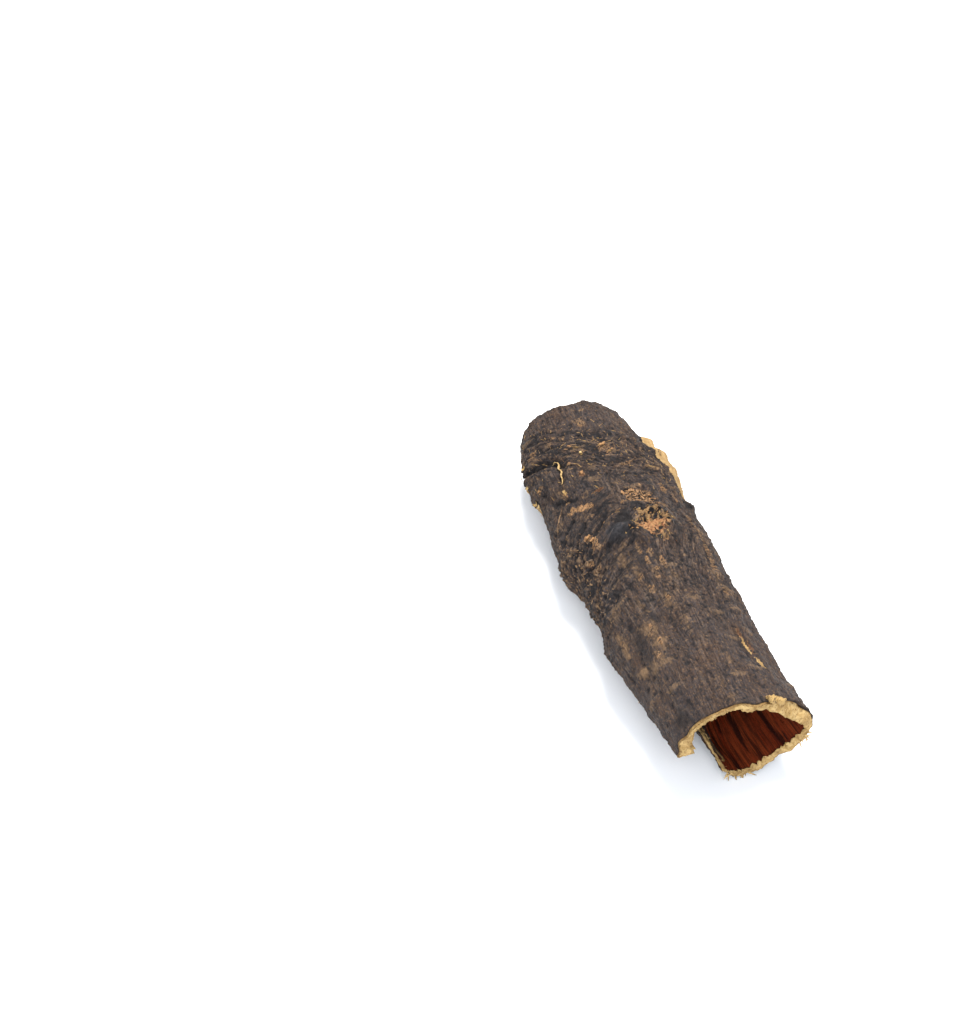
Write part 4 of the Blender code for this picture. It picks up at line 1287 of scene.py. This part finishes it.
def rim_fibres():
    """Loose fibres at the four torn rims."""
    draw = random.Random(SEED + 3)
    starts = []
    for _ in range(END_FIBRES):
        starts.append((draw.uniform(-0.0006, 0.0004), draw.uniform(-0.0155, 0.0410), 0.0))
        starts.append((LENGTH + draw.uniform(-0.0006, 0.0002), draw.uniform(-0.0180, 0.0380), 0.0))
    for _ in range(EDGE_FIBRES):
        for edge, side in ((left_edge, -1.0), (right_edge, 1.0)):
            s = draw.uniform(0.001, LENGTH - 0.001)
            starts.append((s, float(edge(np.array([s]))[0]), side))
    paths = []
    steps = np.linspace(0, 1, 8)
    for s, w, side in starts:
        near = s < 0.01
        if side == 0.0:
            edge = end_tear(np.array([w]), 7)[0] if near else far_tear(np.array([w]))[0]
            s = edge + draw.uniform(0.0, 0.0006)
            s = s if near else LENGTH - s
        length = draw.uniform(0.25, 1.0) * (0.5 if side else 0.6) * LONGEST_FIBRE
        turn = draw.uniform(-0.7, 0.7)
        out = draw.uniform(-0.3, 0.5)
        run_s, run_w = (-1 if near else 1) * math.cos(turn) * 0.35, math.sin(turn)
        if side:
            run_s, run_w = math.sin(turn * 2.0), side * math.cos(turn) * 0.45
        base = draw.uniform(-0.0014, -0.0004)
        bend = draw.uniform(-0.5, 0.5) * length * steps ** 2
        path_s = s + run_s * length * steps + bend * run_w
        path_w = w + run_w * length * steps - bend * run_s
        height = base + out * length * steps ** 1.5
        paths.append(roll_points(path_s, path_w, wall_wave(path_s, path_w) + height))
    return paths


def rim_tufts():
    """Thicker splinters that hang together low on the right and under the near rim."""
    draw = random.Random(SEED + 4)
    paths = []
    for middle, count, spread in ((0.0213, 9, 0.0007), (0.0345, 6, 0.0010), (0.0372, 5, 0.0009)):
        for _ in range(count):
            w = middle + draw.uniform(-spread, spread)
            length, turn = draw.uniform(0.0012, 0.0026), draw.uniform(-0.9, 0.9)
            out = draw.uniform(0.4, 1.0)
            steps = np.linspace(0, 1, 10)
            at_s = end_tear(np.array([w]), 7)[0] + 0.0006 - 0.55 * length * math.cos(turn) * steps
            at_w = w + length * math.sin(turn) * steps + 0.0004 * draw.uniform(-1, 1) * steps ** 2
            rise = draw.uniform(-0.0011, -0.0004) + out * length * steps ** 1.4
            paths.append(roll_points(at_s, at_w, wall_wave(at_s, at_w) + rise))
    return paths


strand_piece("rim_fibres", rim_fibres(), 0.000060, 1.0, 0.00014, pale_strand, 8.0)
strand_piece("rim_tufts", rim_tufts(), 0.000120, 1.4, 0.00020, pale_strand, 9.0)


# Chips: a pale chip of bast that stands on the near rim, and shreds along the left edge where
# the wrinkled bark has torn. Each is a bent closed flake, thinner towards its edges.
def chip_points(length, width, thickness, bend, ragged, seed):
    """A flake on a closed grid, its middle at the origin and its faces up and down."""
    rounds, rings = 28, 9
    turn = np.linspace(0, 2 * math.pi, rounds, endpoint=False)
    points, faces = [(0.0, 0.0, thickness * 0.5)], []
    for ring in range(1, 2 * rings):
        lean = math.pi * ring / (2 * rings)
        reach = math.sin(lean) ** 0.45
        for a in turn:
            uneven = 1 + ragged * noise.noise((math.cos(a) * 1.7, math.sin(a) * 1.7, seed))
            x = 0.5 * length * reach * uneven * np.sign(math.cos(a)) * abs(math.cos(a)) ** 0.7
            y = 0.5 * width * reach * uneven * np.sign(math.sin(a)) * abs(math.sin(a)) ** 0.7
            z = 0.5 * thickness * math.cos(lean) + bend * (x / length) ** 2 * 4
            z += 0.35 * thickness * noise.noise((x * 2500, y * 2500, seed + 3.0))
            points.append((x, y, z))
    points.append((0.0, 0.0, -thickness * 0.5))
    last = len(points) - 1
    for i in range(rounds):
        j = (i + 1) % rounds
        faces.append((0, 1 + i, 1 + j))
        for ring in range(2 * rings - 2):
            a, b = 1 + ring * rounds, 1 + (ring + 1) * rounds
            faces.append((a + i, b + i, b + j, a + j))
        faces.append((last, last - rounds + j, last - rounds + i))
    return np.array(points), faces


CHIPS = [
    # in mm: s, w, lift, length round the bark, width, thickness and bend; then turn, lean, tint
    ((0.5, 6.3, 0.5, 1.7, 1.4, 1.1, 0.2), 20, 10, 0.55),
    ((0.2, 7.7, 0.35, 1.6, 1.1, 1, 0.2), -15, -6, 0.6),
    ((0.9, 5.6, 0.5, 0.9, 0.8, 0.45, 0.2), 70, 40, 0.35),
    ((80.8, -16.8, 0.2, 1, 0.6, 0.24, 0.3), 15, 30, 0.6),
    ((79, -18.6, 0.2, 1, 1, 0.22, 0.3), -10, 30, 0.6),
    ((76.4, -19, 0.15, 0.9, 1, 0.22, 0.3), 20, 35, 0.8),
    ((71.2, -19, 0.2, 1, 0.9, 0.24, 0.4), 0, 35, 0.6),
    ((69.9, -18.6, 0.2, 1.1, 0.7, 0.24, 0.4), 25, 30, 0.8),
    ((65.3, -10.7, 0.22, 0.6, 1.7, 0.5, 0.1), 12, 0, 0.45),
    ((68.6, -5.9, 0.16, 0.6, 1, 0.45, 0.1), -20, 0, 0.1),
    ((76.6, 1, 0.2, 1.7, 0.7, 0.55, 0.1), 25, 0, 0.2),
    ((74.3, 2.2, 0.16, 1.3, 0.5, 0.45, 0.1), 25, 0, 0.45),
    ((75.3, -4, 0.18, 0.6, 0.5, 0.35, 0), 0, 0, 0.8),
    ((71.4, -15.2, 0.16, 1.4, 0.6, 0.45, 0.1), 15, 0, 0.2),
    ((50.8, -10.9, 0.14, 1.3, 0.5, 0.45, 0.1), 25, 0, 0.2),
    ((48.9, -10.2, 0.14, 1.1, 0.4, 0.4, 0.1), 25, 0, 0.1),
]


def chip_mesh(name, chips):
    points, faces, tints, first = [], [], [], 0
    for seed, (sizes, turn, lean, tint) in enumerate(chips, 1):
        s, w, lift, length, width, thickness, bend = mm(sizes)[0]
        flake, quads = chip_points(length, width, thickness, bend, 0.5, seed)
        at = np.array([s, s, s + 0.0001]), np.array([w, w + 0.0001, w])
        height = wall_wave(*at) + cad_relief(*at)[0] + lift
        base, high = roll_points(*at, height), roll_points(*at, height + 0.001)
        up = Vector(high[0] - base[0]).normalized()
        round_bark = Vector(base[1] - base[0])
        round_bark = (round_bark - up * round_bark.dot(up)).normalized()
        spin = Matrix.Rotation(math.radians(turn), 3, "Z")
        spin = spin @ Matrix.Rotation(math.radians(lean), 3, "Y")
        axes = Matrix((round_bark, up.cross(round_bark), up)).transposed() @ spin
        points.append(flake @ np.array(axes).T + base[0])
        faces += [tuple(first + corner for corner in face) for face in quads]
        tints += [tint] * len(flake)
        first += len(flake)
    mesh = new_mesh(name, np.concatenate(points), faces)
    store(mesh, "tint", tints)
    return mesh


chip_colours = [CORK_ORANGE, BAST_TAN, BAST_YELLOW, BAST_CREAM]
bark_piece("torn_chips", chip_mesh("torn_chips", CHIPS), crumb_material("pale chips", chip_colours))


# The table, the light and the camera. None of it is part of the bark.
TABLE_Z = -0.0001
corners = np.array([(x, y, TABLE_Z) for x, y in ((-2, -2), (2, -2), (2, 2), (-2, 2))])
table_top = new_piece("table_top", new_mesh("table_top", corners, [(0, 1, 2, 3)]))
table_white, _, table_shader = new_material("table white", 0.6, 0.2)
table_shader["Base Color"].default_value = (0.86, 0.875, 0.90, 1.0)
table_top.data.materials.append(table_white)

world = bpy.data.worlds.new("studio")
world.use_nodes = True
world.node_tree.nodes["Background"].inputs["Color"].default_value = (0.93, 0.96, 1.0, 1.0)
world.node_tree.nodes["Background"].inputs["Strength"].default_value = 0.75
bpy.context.scene.world = world
bpy.context.scene.view_settings.view_transform = "Standard"

LIGHTS = [("key", (-0.20, 0.12, 0.60), 0.28, 8.5, (1.0, 0.97, 0.93)),
          ("fill", (0.50, -0.20, 0.42), 0.50, 5.0, (0.94, 0.97, 1.0))]
for name, place, size, power, colour in LIGHTS:
    light = bpy.data.lights.new(name, "AREA")
    light.size, light.energy, light.color = size, power, colour
    lamp = bpy.data.objects.new(name, light)
    lamp.location = place
    lamp.rotation_euler = (Vector((0, 0, 0.01)) - Vector(place)).to_track_quat("-Z", "Y").to_euler()
    bpy.context.scene.collection.objects.link(lamp)

CAMERA_PLACE = (0.2025, -0.0799, 0.2053)
CAMERA_HEADING = (-0.9724, 0.2334, 0.0)
CAMERA_PITCH = math.radians(40.0)
UP = Vector((0, 0, 1))
look = Vector(CAMERA_HEADING).normalized() * math.cos(CAMERA_PITCH) - UP * math.sin(CAMERA_PITCH)
right = look.cross(UP).normalized()
turned = Matrix((right, right.cross(look), -look)).transposed().to_4x4()
camera = bpy.data.cameras.new("camera")
camera.lens = 52.28
camera.sensor_width = 36.0
camera.sensor_fit = "AUTO"
camera.clip_start = 0.01
viewer = bpy.data.objects.new("camera", camera)
viewer.matrix_world = Matrix.Translation(CAMERA_PLACE) @ turned
bpy.context.scene.collection.objects.link(viewer)
bpy.context.scene.camera = viewer
